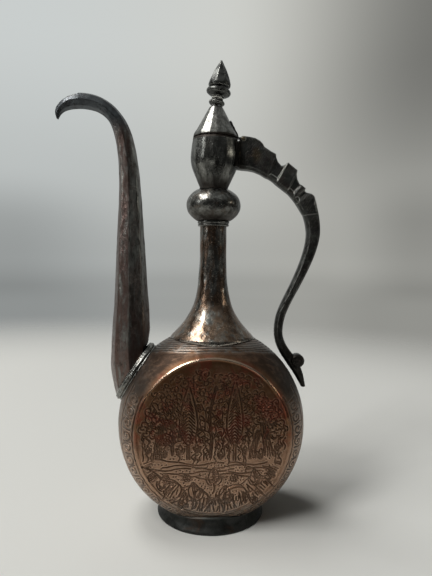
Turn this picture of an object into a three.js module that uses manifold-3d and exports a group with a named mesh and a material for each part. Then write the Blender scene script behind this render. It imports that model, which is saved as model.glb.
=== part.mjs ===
// A tinned copper ewer: flattened flask body on a ring foot, tall neck, faceted mouth with a hinged lid,
// hooked eight-sided spout and a cast handle with a carved crest.
// Millimetres, +Z up. While it is built, the vessel's own axis is the Z axis and its front faces -Y.
import * as THREE from 'three';
import { mergeVertices } from 'three/addons/utils/BufferGeometryUtils.js';
import Module from 'manifold-3d';

const wasm = await Module();
wasm.setup();

// Sheet metal, and the gap that solder fills between two pieces
const sheet = 1.2;
const fit = 0.3;

// Body: two dishes turned about the front-back axis, each with a flat medallion and half of a round rim
const bodyHalfWidth = 78.6;
const bodyHalfHeight = 80.7;
const bodyHalfDepth = 42;
const seatInset = 2.7;
const medallionRadius = 60;
const medallionDome = 1;
const rimBulge = 26.6;
const lapDepth = 4;
const bodySides = 38;
const rimSteps = 8;

// Foot ring, and the disc that it carries under the body
const footRadius = 45;
const footTaper = 3.4;
const footHeight = 13.8;
const footWall = 2.2;
const discSeatHeight = 4.4;
const discMargin = 1.9;
const discKick = 2;
const seatLedge = 1.5;

// Neck, collar and knop: the neck runs from the shoulder to the knop
const neckRadius = 11.3;
const neckLength = 89.9;
const flareRadius = 34;
const flareDrop = 6.1;
const flareSkirt = 6;
const neckOpening = 24;
const neckSides = 28;
const passageRadius = 9.4;
const collarRadius = 13.3;
const collarHeight = 4.4;
const knopRadius = 22.8;
const knopHalfHeight = 16.1;
const knopHalfLength = 12.7;

// Mouth cup and lid: both have flat facets, and their radii are measured to the flats
const facets = 14;
const headLean = 1;
const cupHeight = 41.8;
const cupWaist = 11.6;
const cupBelly = 19.8;
const cupMouth = 18.3;
const lidGap = 0.7;
const lidBase = 18.2;
const lidBreak = 15.6;
const lidBreakHeight = 6.2;
const lidHeight = 26;
const lidTopRadius = 5.2;
const bezelClearance = 0.9;
const bezelDepth = 5.5;
const bezelWall = 1;

// Hinge behind the lid
const hingeReach = 4.5;
const hingeRise = 0.1;
const barrelRadius = 2.1;
const earRadius = 2.4;
const earHalfWidth = 7;
const pinRadius = 1.1;
const pinHeadRadius = 1.9;
const pinHead = 0.8;
const leafWidth = 5.6;
const leafThickness = 1;
const leafReach = 9;
const rivetRadius = 0.8;
const rivetHead = 1.7;
const rivetDome = 0.9;

// Finial: ring, bead and bud on one rod, bent a little by use
const finialLean = 8;
const budLean = -5;
const tangRadius = 1.6;
const ringRadius = 6.6;
const ringHeight = 5;
const stemRadius = 4.8;
const beadRadius = 10.2;
const beadHeight = 8.6;
const budSides = 8;
const budRadius = 9.2;
const budHeight = 22.4;
const budBulb = [[8.4, 0], [budRadius, 1.4], [8.75, 4.4], [8, 7.1], [7.2, budHeight]];
const budFaces = [[10.1, -1], [9.25, 4.4], [8, 7.1], [5.8, 12.4], [2.9, 17.7], [0, budHeight]];

// Spout: eight-sided hollow tube between two rails, open at the beak, on a moulded saddle flange
const spoutSides = 8;
const spoutSteps = 31;
const flangeHeight = 4.8;
const flangeHalfLength = 27;
const flangeHalfWidth = 20.5;
const flangeLand = 8;
const flangeAngle = 33;
const flangeSides = 30;
const beakStart = -113;

// Handle
const handleChamfer = 1.4;
const innerChamfer = 2.4;
const bandThickness = 5;
const bandHalfWidth = 4.9;
const plateThickness = 1.5;
const plateHalfWidth = 11.5;
const plateDrop = 2.7;
const plateLength = 20.5;
const knobRadius = 6.3;
const knobHalfWidth = 4.6;
const knobX = 75.4;

const degrees = THREE.MathUtils.degToRad;
const toFlats = Math.cos(Math.PI / facets);

// Heights, each from the piece that carries it: the body stands on the disc, the neck on the shoulder
const footTopRadius = footRadius - footTaper;
const discRadius = footTopRadius - discMargin;
const discTop = discSeatHeight + fit + sheet;
const bodyBottom = discTop + fit;
const bodySeat = (discRadius - seatInset) / bodyHalfWidth;
const bodyCentre = bodyBottom + bodyHalfHeight * Math.sqrt(1 - bodySeat ** 2);
const shoulder = bodyCentre + bodyHalfHeight;
const flareHeight = shoulder - flareDrop;
const knopBottom = shoulder + neckLength;
const knopCentre = knopBottom + knopHalfLength;
const knopTop = knopCentre + knopHalfLength;
const cupTop = knopTop + cupHeight;
const hingeX = cupMouth + hingeReach;
const hingeZ = cupTop + hingeRise;
const plateTop = cupTop - plateDrop;

// Spout and handle are drawn on a vessel of these heights, and follow the real shoulder and mouth
const drawnShoulder = 158.1;
const drawnMouth = 315.2;
const level = (z) => shoulder + ((cupTop - shoulder) * (z - drawnShoulder)) / (drawnMouth - drawnShoulder);
const levelled = (rows) => rows.map(([ox, oz, ix, iz, width]) => [ox, level(oz), ix, level(iz), width]);

// A closed geometry as a solid that can be joined and cut, and back
function toSolid(geometry) {
  const bare = geometry.clone();
  bare.deleteAttribute('normal');
  bare.deleteAttribute('uv');
  const merged = mergeVertices(bare, 1e-4);
  const index = merged.index.array;
  const triangles = [];
  for (let i = 0; i < index.length; i += 3) {
    const [a, b, c] = [index[i], index[i + 1], index[i + 2]];
    if (a !== b && b !== c && c !== a) triangles.push(a, b, c);
  }
  return new wasm.Manifold(new wasm.Mesh({
    numProp: 3,
    vertProperties: new Float32Array(merged.attributes.position.array),
    triVerts: new Uint32Array(triangles),
  }));
}

function toGeometry(solid) {
  const mesh = solid.getMesh();
  const geometry = new THREE.BufferGeometry();
  geometry.setAttribute('position', new THREE.BufferAttribute(mesh.vertProperties, 3));
  geometry.setIndex(new THREE.BufferAttribute(mesh.triVerts, 1));
  return geometry;
}

const vectors = (pairs) => pairs.map(([x, y]) => new THREE.Vector2(x, y));

// A [radius, height] profile turned about the Z axis, upwards on its outer side
function turned(profile, sides) {
  return toSolid(new THREE.LatheGeometry(vectors(profile), sides).rotateX(Math.PI / 2));
}

// The same with flat facets, whose radii are given to the flats
function faceted(profile) {
  return turned(profile.map(([radius, height]) => [radius / toFlats, height]), facets);
}

// A profile turned about the Y axis, for pins and discs that lie across the vessel
function turnedAcross(profile, sides) {
  return toSolid(new THREE.LatheGeometry(vectors(profile), sides));
}

// An [x, z] outline made solid across the vessel, centred on the plane y = 0
function plateAcross(outline, width) {
  const shape = new THREE.Shape(vectors(outline));
  const geometry = new THREE.ExtrudeGeometry(shape, { depth: width, bevelEnabled: false });
  return toSolid(geometry.rotateX(Math.PI / 2).translate(0, width / 2, 0));
}

function box(x0, x1, y0, y1, z0, z1) {
  const geometry = new THREE.BoxGeometry(x1 - x0, y1 - y0, z1 - z0);
  return toSolid(geometry.translate((x0 + x1) / 2, (y0 + y1) / 2, (z0 + z1) / 2));
}

// A smooth line through a few points
function smooth(pairs, steps) {
  return new THREE.SplineCurve(vectors(pairs)).getPoints(steps).map((p) => [p.x, p.y]);
}

// A line moved to its left side by a distance: inwards for a profile that runs upwards
function moved(line, distance) {
  return line.map(([x, y], i) => {
    const [ax, ay] = line[Math.max(i - 1, 0)];
    const [bx, by] = line[Math.min(i + 1, line.length - 1)];
    const length = Math.hypot(bx - ax, by - ay);
    return [x - (distance * (by - ay)) / length, y + (distance * (bx - ax)) / length];
  });
}

// A profile line with a wall and level ends, closed on itself
function walled(line, wall) {
  const inner = moved(line, wall);
  [0, line.length - 1].forEach((end) => {
    inner[end][1] = line[end][1];
  });
  return [...line, ...inner.reverse(), line[0]];
}

// A solid skinned over sections that stand between two rails. A section is [outer x, outer z, inner x,
// inner z, half width], and shape maps a point of the unit circle to a point of the section's unit square.
function lofted(sectionAt, steps, sides, shape, start, turn) {
  const geometry = new THREE.CylinderGeometry(1, 1, 1, sides, steps, false, start);
  const position = geometry.attributes.position;
  for (let i = 0; i < position.count; i += 1) {
    const [ox, oz, ix, iz, width] = sectionAt(position.getY(i) + 0.5);
    const height = Math.hypot(ox - ix, oz - iz) / 2;
    const [up, out] = shape(position.getZ(i), position.getX(i), height, width);
    const x = (ox + ix + up * (ox - ix)) / 2;
    const z = (oz + iz + up * (oz - iz)) / 2;
    position.setXYZ(i, x, turn * out * width, z);
  }
  return toSolid(geometry);
}

// A section as round as its loft's sides, and a rectangle with cut corners on eight sides
const roundSection = (up, out) => [up, out];
const cornerCut = 0.7;
function barSection(up, out, height, width) {
  if (Math.hypot(up, out) < 0.5) return [0, 0];
  const chamfer = up < 0 ? innerChamfer : handleChamfer;
  const high = 1 - Math.min(chamfer / height, cornerCut);
  const wide = 1 - Math.min(chamfer / width, cornerCut);
  if (Math.abs(up) > Math.abs(out)) return [Math.sign(up), Math.sign(out) * wide];
  return [Math.sign(up) * high, Math.sign(out)];
}

const barOf = (sectionAt, steps) => lofted(sectionAt, steps, 8, barSection, Math.PI / 8, -1);

// Sections at the rows themselves, or on smooth curves through them
const atRows = (rows) => (t) => rows[Math.round(t * (rows.length - 1))];

function onCurves(rows) {
  const curve = (first) => {
    const knots = rows.map((row) => new THREE.Vector3(row[first], row[first + 1], row[4]));
    return new THREE.CatmullRomCurve3(knots, false, 'centripetal');
  };
  const [outer, inner] = [curve(0), curve(2)];
  return (t) => {
    const [a, b] = [outer.getPoint(t), inner.getPoint(t)];
    return [a.x, a.y, b.x, b.y, a.z];
  };
}

// Body: the outer form at any offset from its real surface
const rimStart = bodyHalfWidth - rimBulge;
const rimDepth = bodyHalfDepth / Math.sqrt(1 - ((medallionRadius - rimStart) / rimBulge) ** 2);
const bodyStretch = bodyHalfHeight / bodyHalfWidth;
const rimRadiusAt = (y) => rimStart + rimBulge * Math.sqrt(1 - (y / rimDepth) ** 2);

function bodySolid(grow) {
  const depth = bodyHalfDepth + grow;
  const domeShares = [0, 0.5];
  const dome = (share) => [share * medallionRadius, depth + medallionDome * (1 - share ** 2)];
  const front = domeShares.map(dome).map(([radius, y]) => [radius, -y]);
  const back = domeShares.map(dome).reverse();
  const turn = Math.asin(depth / (rimDepth + grow));
  const rim = Array.from({ length: rimSteps + 1 }, (_, i) => {
    const angle = turn * ((2 * i) / rimSteps - 1);
    return [rimStart + (rimBulge + grow) * Math.cos(angle), (rimDepth + grow) * Math.sin(angle)];
  });
  const geometry = new THREE.LatheGeometry(vectors([...front, ...rim, ...back]), bodySides);
  return toSolid(geometry.scale(1, 1, bodyStretch).translate(0, 0, bodyCentre));
}

// Where the spout stands on the rim: along, outward and across
const spoutAngle = degrees(flangeAngle);
const along = new THREE.Vector3(Math.sin(spoutAngle), 0, Math.cos(spoutAngle));
const outward = new THREE.Vector3(-Math.cos(spoutAngle), 0, Math.sin(spoutAngle));
const across = new THREE.Vector3(0, -1, 0);

function flowHole() {
  const reach = 60;
  const geometry = new THREE.CylinderGeometry(1, 1, reach, 28);
  geometry.scale(flangeHalfLength - flangeLand, 1, flangeHalfWidth - flangeLand);
  const place = new THREE.Matrix4().makeBasis(along, outward, across);
  place.setPosition(outward.clone().multiplyScalar(bodyHalfWidth));
  geometry.applyMatrix4(place).translate(0, 0, bodyCentre);
  return toSolid(geometry);
}

const farOut = 120;

// A layer of the body between two offsets, cut for the neck, the base disc and the spout
function bodyLayer(outside, inside) {
  const geometry = new THREE.CylinderGeometry(neckOpening, neckOpening, bodyHalfHeight, bodySides);
  const neckHole = toSolid(geometry.rotateX(Math.PI / 2).translate(0, 0, bodyCentre + bodyHalfHeight));
  return bodySolid(outside)
    .subtract(bodySolid(inside))
    .subtract(neckHole)
    .subtract(box(-farOut, farOut, -farOut, farOut, -farOut, bodyBottom))
    .subtract(flowHole());
}

const slab = (y0, y1) => box(-farOut, farOut, y0, y1, -farOut, 2 * farOut);

// The front dish ends in a lip that laps inside the back dish
function bodyFront() {
  const lapTop = -sheet - fit;
  const lapBottom = lapTop - sheet;
  const lip = bodyLayer(lapTop, lapBottom).intersect(slab(-lapDepth, lapDepth));
  const root = bodyLayer(-sheet / 2, lapBottom).intersect(slab(-lapDepth, -fit / 2));
  return bodyLayer(0, -sheet).intersect(slab(-farOut, -fit / 2)).add(root).add(lip);
}

function bodyBack() {
  return bodyLayer(0, -sheet).intersect(slab(fit / 2, farOut));
}

// Foot ring with an inner ledge, and the disc that lies on it
function footRing() {
  const ledge = discSeatHeight;
  const bore = discRadius + fit;
  return turned([
    [footRadius - footWall, 0],
    [footRadius, 0],
    [footRadius + 0.3, 1.2],
    [footRadius - 0.6, 3],
    [footRadius - 2.2, 4.8],
    [footTopRadius + 0.4, 8],
    [footTopRadius, footHeight],
    [footTopRadius - footWall, footHeight],
    [bore, bodyBottom],
    [bore, ledge],
    [bore - seatLedge, ledge],
    [bore - seatLedge, ledge - seatLedge],
    [footRadius - footWall, 0],
  ], bodySides).subtract(bodySolid(fit));
}

function baseDisc() {
  const bottom = discSeatHeight + fit;
  const flat = discRadius * 0.7;
  return turned([
    [0, bottom + discKick],
    [flat, bottom],
    [discRadius, bottom],
    [discRadius, discTop],
    [flat, discTop],
    [0, discTop + discKick],
  ], bodySides);
}

// Neck tube with its flare, trimmed to the shoulder that it sits on
function neckTube() {
  const swell = (share) => neckRadius + share * (flareRadius - neckRadius);
  const upNeck = (share) => shoulder + share * neckLength;
  const flare = smooth([
    [flareRadius, flareHeight],
    [swell(0.56), upNeck(0.055)],
    [swell(0.207), upNeck(0.221)],
    [swell(0.035), upNeck(0.466)],
    [swell(-0.005), upNeck(0.744)],
    [neckRadius, knopBottom - fit],
  ], 9);
  const skirtRadius = flareRadius + 1;
  const skirt = [[skirtRadius, flareHeight - flareSkirt], [skirtRadius, flareHeight - sheet]];
  return turned(walled([...skirt, ...flare], sheet), neckSides).subtract(bodySolid(fit));
}

function neckCollar() {
  const top = knopBottom - fit;
  const bore = neckRadius + fit;
  return turned([
    [bore, top - collarHeight],
    [bore + 0.8, top - collarHeight],
    [collarRadius, top - collarHeight + 1.6],
    [collarRadius, top],
    [bore, top],
    [bore, top - collarHeight],
  ], neckSides);
}

function knop() {
  const arc = (wall, steps) => {
    const [low, high] = [knopBottom + wall, knopTop - wall];
    return Array.from({ length: steps + 1 }, (_, i) => {
      const height = (low + high) / 2 - ((high - low) / 2) * Math.cos((Math.PI * i) / steps);
      const share = (height - knopCentre) / (knopHalfHeight - wall);
      return [(knopRadius - wall) * Math.sqrt(1 - share ** 2), height];
    });
  };
  const start = [passageRadius, knopBottom];
  return turned([
    start,
    ...arc(0, 8),
    [passageRadius, knopTop],
    [passageRadius, knopTop - sheet],
    ...arc(sheet, 6).reverse(),
    [passageRadius, knopBottom + sheet],
    start,
  ], neckSides);
}

// Mouth cup
const cupBottom = knopTop + fit + cupWaist * Math.sin(degrees(headLean));
const bulge = (share) => cupWaist + share * (cupBelly - cupWaist);
const upCup = (share) => knopTop + share * cupHeight;
const cupLine = [
  [cupWaist + 0.5, cupBottom],
  ...smooth([
    [cupWaist, cupBottom + 1.6],
    [bulge(0.4), upCup(0.23)],
    [bulge(0.89), upCup(0.462)],
    [cupBelly, upCup(0.648)],
    [cupMouth, cupTop],
  ], 10),
];

const mouthCup = () => faceted(walled(cupLine, sheet));

function cupSolid(grow) {
  const line = moved(cupLine, -grow);
  const [first, last] = [line[0], line[line.length - 1]];
  return faceted([[0, first[1]], ...line, [0, last[1]]]);
}

// Lid: faceted cone, with an inner bezel that drops into the mouth
const lidBottom = cupTop + lidGap;
const lidTop = lidBottom + lidHeight;
const lidLine = [
  [lidBase, lidBottom],
  [lidBase - 0.2, lidBottom + 1.8],
  [lidBreak + 1.6, lidBottom + 3.8],
  [lidBreak, lidBreakHeight + lidBottom],
  [lidTopRadius, lidTop - 0.6],
  [lidTopRadius - 0.6, lidTop],
];
const lidInside = moved(lidLine, sheet);
const tangBore = tangRadius + fit;

function lidCone() {
  const top = lidTop - 2 * sheet;
  const inside = lidInside.slice(0, 4).reverse();
  const socket = [[tangBore, lidTop], [tangBore, top], [lidTopRadius - sheet, top]];
  return faceted([...lidLine, ...socket, ...inside, lidLine[0]]);
}

function lidBezel() {
  const radius = cupMouth - sheet - bezelClearance;
  const flare = lidInside[1][0] - fit;
  const [bottom, bend, top] = [cupTop - bezelDepth, lidBottom + 0.2, lidInside[1][1]];
  return faceted([
    [radius - bezelWall, bottom],
    [radius, bottom],
    [radius, bend],
    [flare, top],
    [flare - bezelWall, top],
    [radius - bezelWall, bend],
    [radius - bezelWall, bottom],
  ]);
}

// Hinge: barrel and leaf on the lid, ears on the handle, one pin through them
function rod(radius, width) {
  const half = width / 2;
  return turnedAcross([[0, -half], [radius, -half], [radius, half], [0, half]], 16);
}

const atHinge = (solid) => solid.translate(hingeX, 0, hingeZ);

// Rivets through the leaf and the lid, as [x, z] places on the lid's slope
const leafSlope = Math.atan2(lidBreak - lidTopRadius, lidHeight - lidBreakHeight - 0.6);
const upSlope = (run) => [
  lidBreak - run * Math.sin(leafSlope),
  lidBottom + lidBreakHeight + run * Math.cos(leafSlope),
];
const leafRivets = [0.35, 0.8].map((share) => upSlope(share * leafReach));

function rivet(grip) {
  const half = grip / 2;
  return turnedAcross([
    [0, -half - rivetDome],
    [rivetHead * 0.7, -half - rivetDome * 0.7],
    [rivetHead, -half],
    [rivetRadius, -half],
    [rivetRadius, half],
    [rivetHead, half],
    [rivetHead * 0.7, half + rivetDome * 0.7],
    [0, half + rivetDome],
  ], 10);
}

const leafGrip = sheet + leafThickness + 3 * fit;

function alongLeaf(solid, [x, z]) {
  const offset = leafGrip / 2 - fit - sheet;
  return solid
    .rotate(0, 0, -90)
    .rotate(0, -THREE.MathUtils.radToDeg(leafSlope), 0)
    .translate(x + offset * Math.cos(leafSlope), 0, z + offset * Math.sin(leafSlope));
}

const rivetHole = () => rod(rivetRadius + fit, 8);
const leafHoles = () => alongLeaf(rivetHole(), leafRivets[0]).add(alongLeaf(rivetHole(), leafRivets[1]));

function lidLeaf() {
  const line = [...lidLine.slice(0, 4), upSlope(leafReach)];
  const under = moved(line, -fit);
  const over = moved(line, -fit - leafThickness);
  const [webTop, webBottom] = [hingeZ + barrelRadius, hingeZ + barrelRadius - leafThickness];
  const outline = [
    [hingeX, webBottom],
    [under[0][0], webBottom],
    ...under.slice(1),
    ...over.slice(2).reverse(),
    [over[1][0], webTop],
    [hingeX, webTop],
  ];
  return plateAcross(outline.reverse(), leafWidth)
    .add(atHinge(rod(barrelRadius, leafWidth)))
    .subtract(atHinge(rod(pinRadius + fit, 3 * earHalfWidth)))
    .subtract(leafHoles());
}

function hingePin() {
  const half = earHalfWidth + fit;
  return atHinge(turnedAcross([
    [0, -half - pinHead],
    [pinHeadRadius * 0.8, -half - pinHead],
    [pinHeadRadius, -half],
    [pinRadius, -half],
    [pinRadius, half],
    [pinHeadRadius, half],
    [pinHeadRadius * 0.8, half + pinHead],
    [0, half + pinHead],
  ], 16));
}

// Finial pieces, stacked on the lid's own axis: ring, bead on its stem, bud
const ringBottom = lidTop + fit + lidTopRadius * Math.sin(degrees(finialLean));
const beadBottom = ringBottom + ringHeight + fit;
const budBottom = beadBottom + beadHeight + fit + budRadius * Math.sin(degrees(-budLean));

function finialRing() {
  const top = ringBottom + ringHeight;
  return turned([
    [tangBore, ringBottom],
    [lidTopRadius - 0.4, ringBottom],
    [ringRadius, ringBottom + 1.6],
    [ringRadius, ringBottom + 3],
    [stemRadius, top],
    [tangBore, top],
    [tangBore, ringBottom],
  ], 20);
}

function finialBead() {
  const top = beadBottom + beadHeight;
  return turned([
    [tangBore, beadBottom],
    [stemRadius, beadBottom],
    [stemRadius + 0.2, beadBottom + 1.6],
    [beadRadius * 0.8, beadBottom + 3.4],
    [beadRadius, beadBottom + 5.4],
    [beadRadius * 0.97, beadBottom + 7],
    [beadRadius * 0.8, top],
    [tangBore, top],
    [tangBore, beadBottom],
  ], 20);
}

// A turned bulb with flat faces filed up to its point, drilled for the rod
function finialBud() {
  const above = (line) => line.map(([radius, height]) => [radius, budBottom + height]);
  const bulb = turned(above([[0, 0], ...budBulb, [0, budHeight]]), 16);
  const faces = turned(above([[0, -1], ...budFaces]), budSides);
  const socket = turned([
    [0, budBottom - 1],
    [tangBore, budBottom - 1],
    [tangBore, budBottom + budHeight / 3],
    [0, budBottom + budHeight / 3],
  ], 8);
  return bulb.intersect(faces).subtract(socket);
}

// The rod is peened over inside the lid and ends in the bud
function finialPin() {
  const headRadius = lidTopRadius - sheet - 0.4;
  const inside = lidTop - 2 * sheet - fit - headRadius * Math.sin(degrees(finialLean));
  const end = budBottom + 1;
  return turned([
    [0, inside - pinHead],
    [headRadius - 0.6, inside - pinHead],
    [headRadius, inside],
    [tangRadius - fit, inside],
    [tangRadius - fit, end],
    [0, end],
  ], 12);
}

// Spout: sections from inside the rim, up the tall tube and over the hook to the beak's point
const spoutRows = levelled([
  [-47, 140.4, -73.5, 94.6, 15.5],
  [-54, 144.8, -81, 100, 16.8],
  [-52.6, 155.4, -85.3, 121, 16.2],
  [-53, 171.4, -84.6, 151, 15],
  [-54.5, 191.3, -82.6, 181, 13.8],
  [-56.9, 224.3, -81.2, 218, 12],
  [-59, 254.3, -79.6, 251, 10.4],
  [-61, 278.3, -78.8, 277, 9.2],
  [-64.1, 301.2, -79.6, 299, 8.3],
  [-68.9, 320.2, -82.2, 315.5, 7.6],
  [-75.5, 332.3, -86.2, 326.5, 7.1],
  [-83.8, 341.4, -91.5, 332.5, 6.8],
  [-94, 347.6, -98, 335.8, 6.6],
  [-105, 350.3, -105.5, 337.2, 6.5],
  [-113.5, 350.4, -112, 337.2, 6.5],
  [-121.5, 347.9, -118.5, 336.5, 6],
  [-128, 342.2, -123.5, 334.5, 4.6],
  [-131, 335, -126.5, 331.5, 3],
  [-129.6, 329.2, -128, 328.6, 1.2],
]);
const hollowShare = 0.93;

// The same section with the wall taken off all round
function thinner([ox, oz, ix, iz, width], wall) {
  const height = Math.hypot(ox - ix, oz - iz);
  const share = Math.min(wall / height, 0.35);
  const [dx, dz] = [(ox - ix) * share, (oz - iz) * share];
  return [ox - dx, oz - dz, ix + dx, iz + dz, Math.max(width - wall, width * 0.3)];
}

function spoutTube() {
  const sections = onCurves(spoutRows);
  const outside = lofted(sections, spoutSteps, spoutSides, roundSection, 0, 1);
  const thinned = (t) => thinner(sections(t * hollowShare), sheet);
  const inside = lofted(thinned, spoutSteps, spoutSides, roundSection, 0, 1);
  const beakLine = [
    [beakStart, 348.2],
    [beakStart, 360],
    [-140, 360],
    [-140, 332.4],
    [-131.4, 332.4],
    [-129.4, 338],
    [-126, 341.7],
    [-122.9, 344.2],
    [-119.2, 346.3],
  ];
  const beakCut = plateAcross(beakLine.map(([x, z]) => [x, level(z)]), 30);
  return outside.subtract(inside).subtract(beakCut).subtract(bodySolid(flangeHeight + 3 * fit));
}

// Moulded saddle flange: a turned ring, made oval and bent onto the rim
function spoutFlange() {
  const edge = flangeHalfLength;
  const bore = edge - flangeLand;
  const top = fit + flangeHeight;
  const profile = [
    [bore, fit],
    [edge, fit],
    [edge, fit + 0.9],
    [edge - 1, fit + 1.2],
    [edge - 1.1, fit + 1.6],
    [edge - 0.4, fit + 2.1],
    [edge - 0.4, fit + 3],
    [edge - 1.3, fit + 3.5],
    [edge - 1.6, fit + 3.9],
    [edge - 1.2, top],
    [bore, top],
    [bore, fit],
  ];
  const geometry = new THREE.LatheGeometry(vectors(profile), flangeSides).rotateX(Math.PI / 2);
  const position = geometry.attributes.position;
  for (let i = 0; i < position.count; i += 1) {
    const [u, v, height] = [position.getX(i), position.getY(i), position.getZ(i)];
    const radius = Math.hypot(u, v);
    const y = v * ((radius - flangeHalfLength + flangeHalfWidth) / radius);
    const angle = spoutAngle + u / bodyHalfWidth;
    const reach = rimRadiusAt(y) + height;
    position.setXYZ(i, -reach * Math.cos(angle), y, bodyCentre + reach * bodyStretch * Math.sin(angle));
  }
  return toSolid(geometry).subtract(bodySolid(fit / 2));
}

// Handle: carved crest of blocks and narrow waists, then a plain strap that swings in to the body
const crestRows = levelled([
  [17, 313.2, 17, 291.6, 7],
  [20.2, 314.2, 20.2, 291.4, 7],
  [22.8, 318, 23.2, 291.1, 7],
  [28, 317.7, 28.5, 290.7, 6.4],
  [32.8, 317, 32.8, 289.9, 5.8],
  [37.1, 314.9, 36.3, 288.6, 5.5],
  [39.4, 312.7, 38.6, 287.7, 5.5],
  [40.8, 310.2, 40.4, 286.7, 5.5],
  [46.6, 306.7, 42.4, 285.5, 5.5],
  [50.7, 304.7, 43.8, 284.9, 5.5],
  [51.4, 301.8, 45.9, 284, 3.8],
  [52.8, 298.7, 47.6, 283, 3.8],
  [55.9, 295.5, 49.4, 281.8, 3.8],
  [59.4, 296.3, 50.4, 281, 3.8],
  [60.9, 298.3, 51.5, 280.1, 5.5],
  [69.2, 292, 60.6, 273.6, 5.5],
  [68.9, 288.2, 61.3, 273, 3.8],
  [69.8, 284.7, 62.5, 272.2, 3.8],
  [71.8, 281, 64, 270.6, 3.8],
  [73.8, 279.7, 65.3, 269.3, 5.2],
  [76.9, 277.3, 66.6, 267.9, 5.2],
  [76.2, 275.7, 67.2, 267.2, 3.8],
  [77.6, 274.2, 68, 266.2, 3.8],
  [82, 273, 69.8, 263.9, 5.5],
  [84.2, 271.3, 71.2, 262, 5.5],
  [85.5, 268, 72.5, 260, 5.3],
  [88.7, 256.4, 75.9, 254.8, 5],
]);
const strapRows = levelled([
  [85.5, 268, 72.5, 260, 5.3],
  [88.7, 256.4, 75.9, 254.8, 5],
  [90.6, 239.5, 79.5, 239.2, 4.8],
  [86, 219.5, 75.9, 218.7, 4.6],
  [75.2, 194.8, 66.6, 194.6, 4.4],
  [64.1, 170.6, 56.4, 170.4, 4.2],
  [62.2, 153.4, 55.2, 153.1, 4.2],
  [66.8, 142.9, 58.2, 142.7, 4.3],
  [74.5, 133.2, 64, 132.9, 4.4],
  [80.5, 121.9, 72.3, 121.6, 3.2],
  [84, 108.6, 80.5, 108.4, 2],
]);

// The band runs along the crest's inner edge and stands wider than its waists
const bandRows = crestRows.map(([ox, oz, ix, iz]) => {
  const share = bandThickness / Math.hypot(ox - ix, oz - iz);
  return [ix + (ox - ix) * share, iz + (oz - iz) * share, ix, iz, bandHalfWidth];
});

function thumbKnob() {
  const [round, flat] = [knobHalfWidth - 1.7, knobRadius - 1.7];
  return turnedAcross([
    [0, -knobHalfWidth],
    [flat, -knobHalfWidth],
    [knobRadius, -round],
    [knobRadius, round],
    [flat, knobHalfWidth],
    [0, knobHalfWidth],
  ], 20).translate(knobX, 0, level(131.5));
}

function rootPlate() {
  const wide = box(0, farOut, -plateHalfWidth, plateHalfWidth, plateTop - plateLength, plateTop);
  return cupSolid(fit + plateThickness).subtract(cupSolid(fit)).intersect(wide);
}

// Plate rivets stand on the cup's facets beside the root
const plateAngle = 360 / facets;
const plateGrip = sheet + plateThickness + 3 * fit;
const plateRivetRise = 0.7;

function onPlate(solid, side) {
  const middle = cupBelly + plateThickness + fit - plateGrip / 2 + fit;
  const height = plateTop - plateLength / 2 + plateRivetRise;
  return solid.rotate(0, 0, -90).translate(middle, 0, height).rotate(0, 0, side * plateAngle);
}

const plateHoles = () => onPlate(rivetHole(), -1).add(onPlate(rivetHole(), 1));

function handle() {
  const slotHalf = leafWidth / 2 + fit;
  const slotEnd = hingeX + barrelRadius + leafThickness + fit;
  const slot = box(0, slotEnd, -slotHalf, slotHalf, hingeZ - barrelRadius - fit, 3 * farOut);
  const ears = atHinge(rod(earRadius, 2 * earHalfWidth));
  const crest = barOf(atRows(crestRows), crestRows.length - 1)
    .add(barOf(atRows(bandRows), bandRows.length - 1))
    .add(barOf(onCurves(strapRows), 24))
    .add(thumbKnob())
    .add(ears)
    .subtract(cupSolid(fit))
    .add(rootPlate())
    .subtract(slot)
    .subtract(atHinge(rod(pinRadius + fit, 3 * earHalfWidth)));
  return crest.subtract(plateHoles());
}

// Metals
const metal = (color, roughness) => new THREE.MeshStandardMaterial({ color, roughness, metalness: 1 });
const copper = () => metal(0x8a5236, 0.4);
const tinned = () => metal(0x55524e, 0.35);
const darkBronze = () => metal(0x24221f, 0.5);
const brass = () => metal(0x8d7748, 0.35);

function piece(name, solid, material) {
  const mesh = new THREE.Mesh(toGeometry(solid), material);
  mesh.name = name;
  return mesh;
}

// A group that turns about the Y axis through a point of the vessel
function turningAt(x, z, lean, pieces) {
  const pivot = new THREE.Group();
  const content = new THREE.Group();
  pivot.position.set(x, 0, z);
  pivot.rotation.y = degrees(lean);
  content.position.set(-x, 0, -z);
  pivot.add(content.add(...pieces));
  return pivot;
}

const bud = turningAt(0, budBottom, budLean, [piece('finial_bud', finialBud(), darkBronze())]);
const finial = turningAt(0, ringBottom, finialLean, [
  piece('finial_ring', finialRing(), darkBronze()),
  piece('finial_bead', finialBead(), darkBronze()),
  piece('finial_pin', finialPin(), brass()),
  bud,
]);
const lid = turningAt(hingeX, hingeZ, 0, [
  piece('lid_cone', lidCone().subtract(leafHoles()), tinned()),
  piece('lid_bezel', lidBezel(), tinned()),
  piece('lid_leaf', lidLeaf(), tinned()),
  piece('leaf_rivet_lower', alongLeaf(rivet(leafGrip), leafRivets[0]), brass()),
  piece('leaf_rivet_upper', alongLeaf(rivet(leafGrip), leafRivets[1]), brass()),
  finial,
]);
const head = turningAt(0, cupBottom, headLean, [
  piece('mouth_cup', mouthCup().subtract(plateHoles()), tinned()),
  piece('handle', handle(), darkBronze()),
  piece('handle_rivet_front', onPlate(rivet(plateGrip), 1), brass()),
  piece('handle_rivet_back', onPlate(rivet(plateGrip), -1), brass()),
  piece('hinge_pin', hingePin(), brass()),
  lid,
]);

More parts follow.
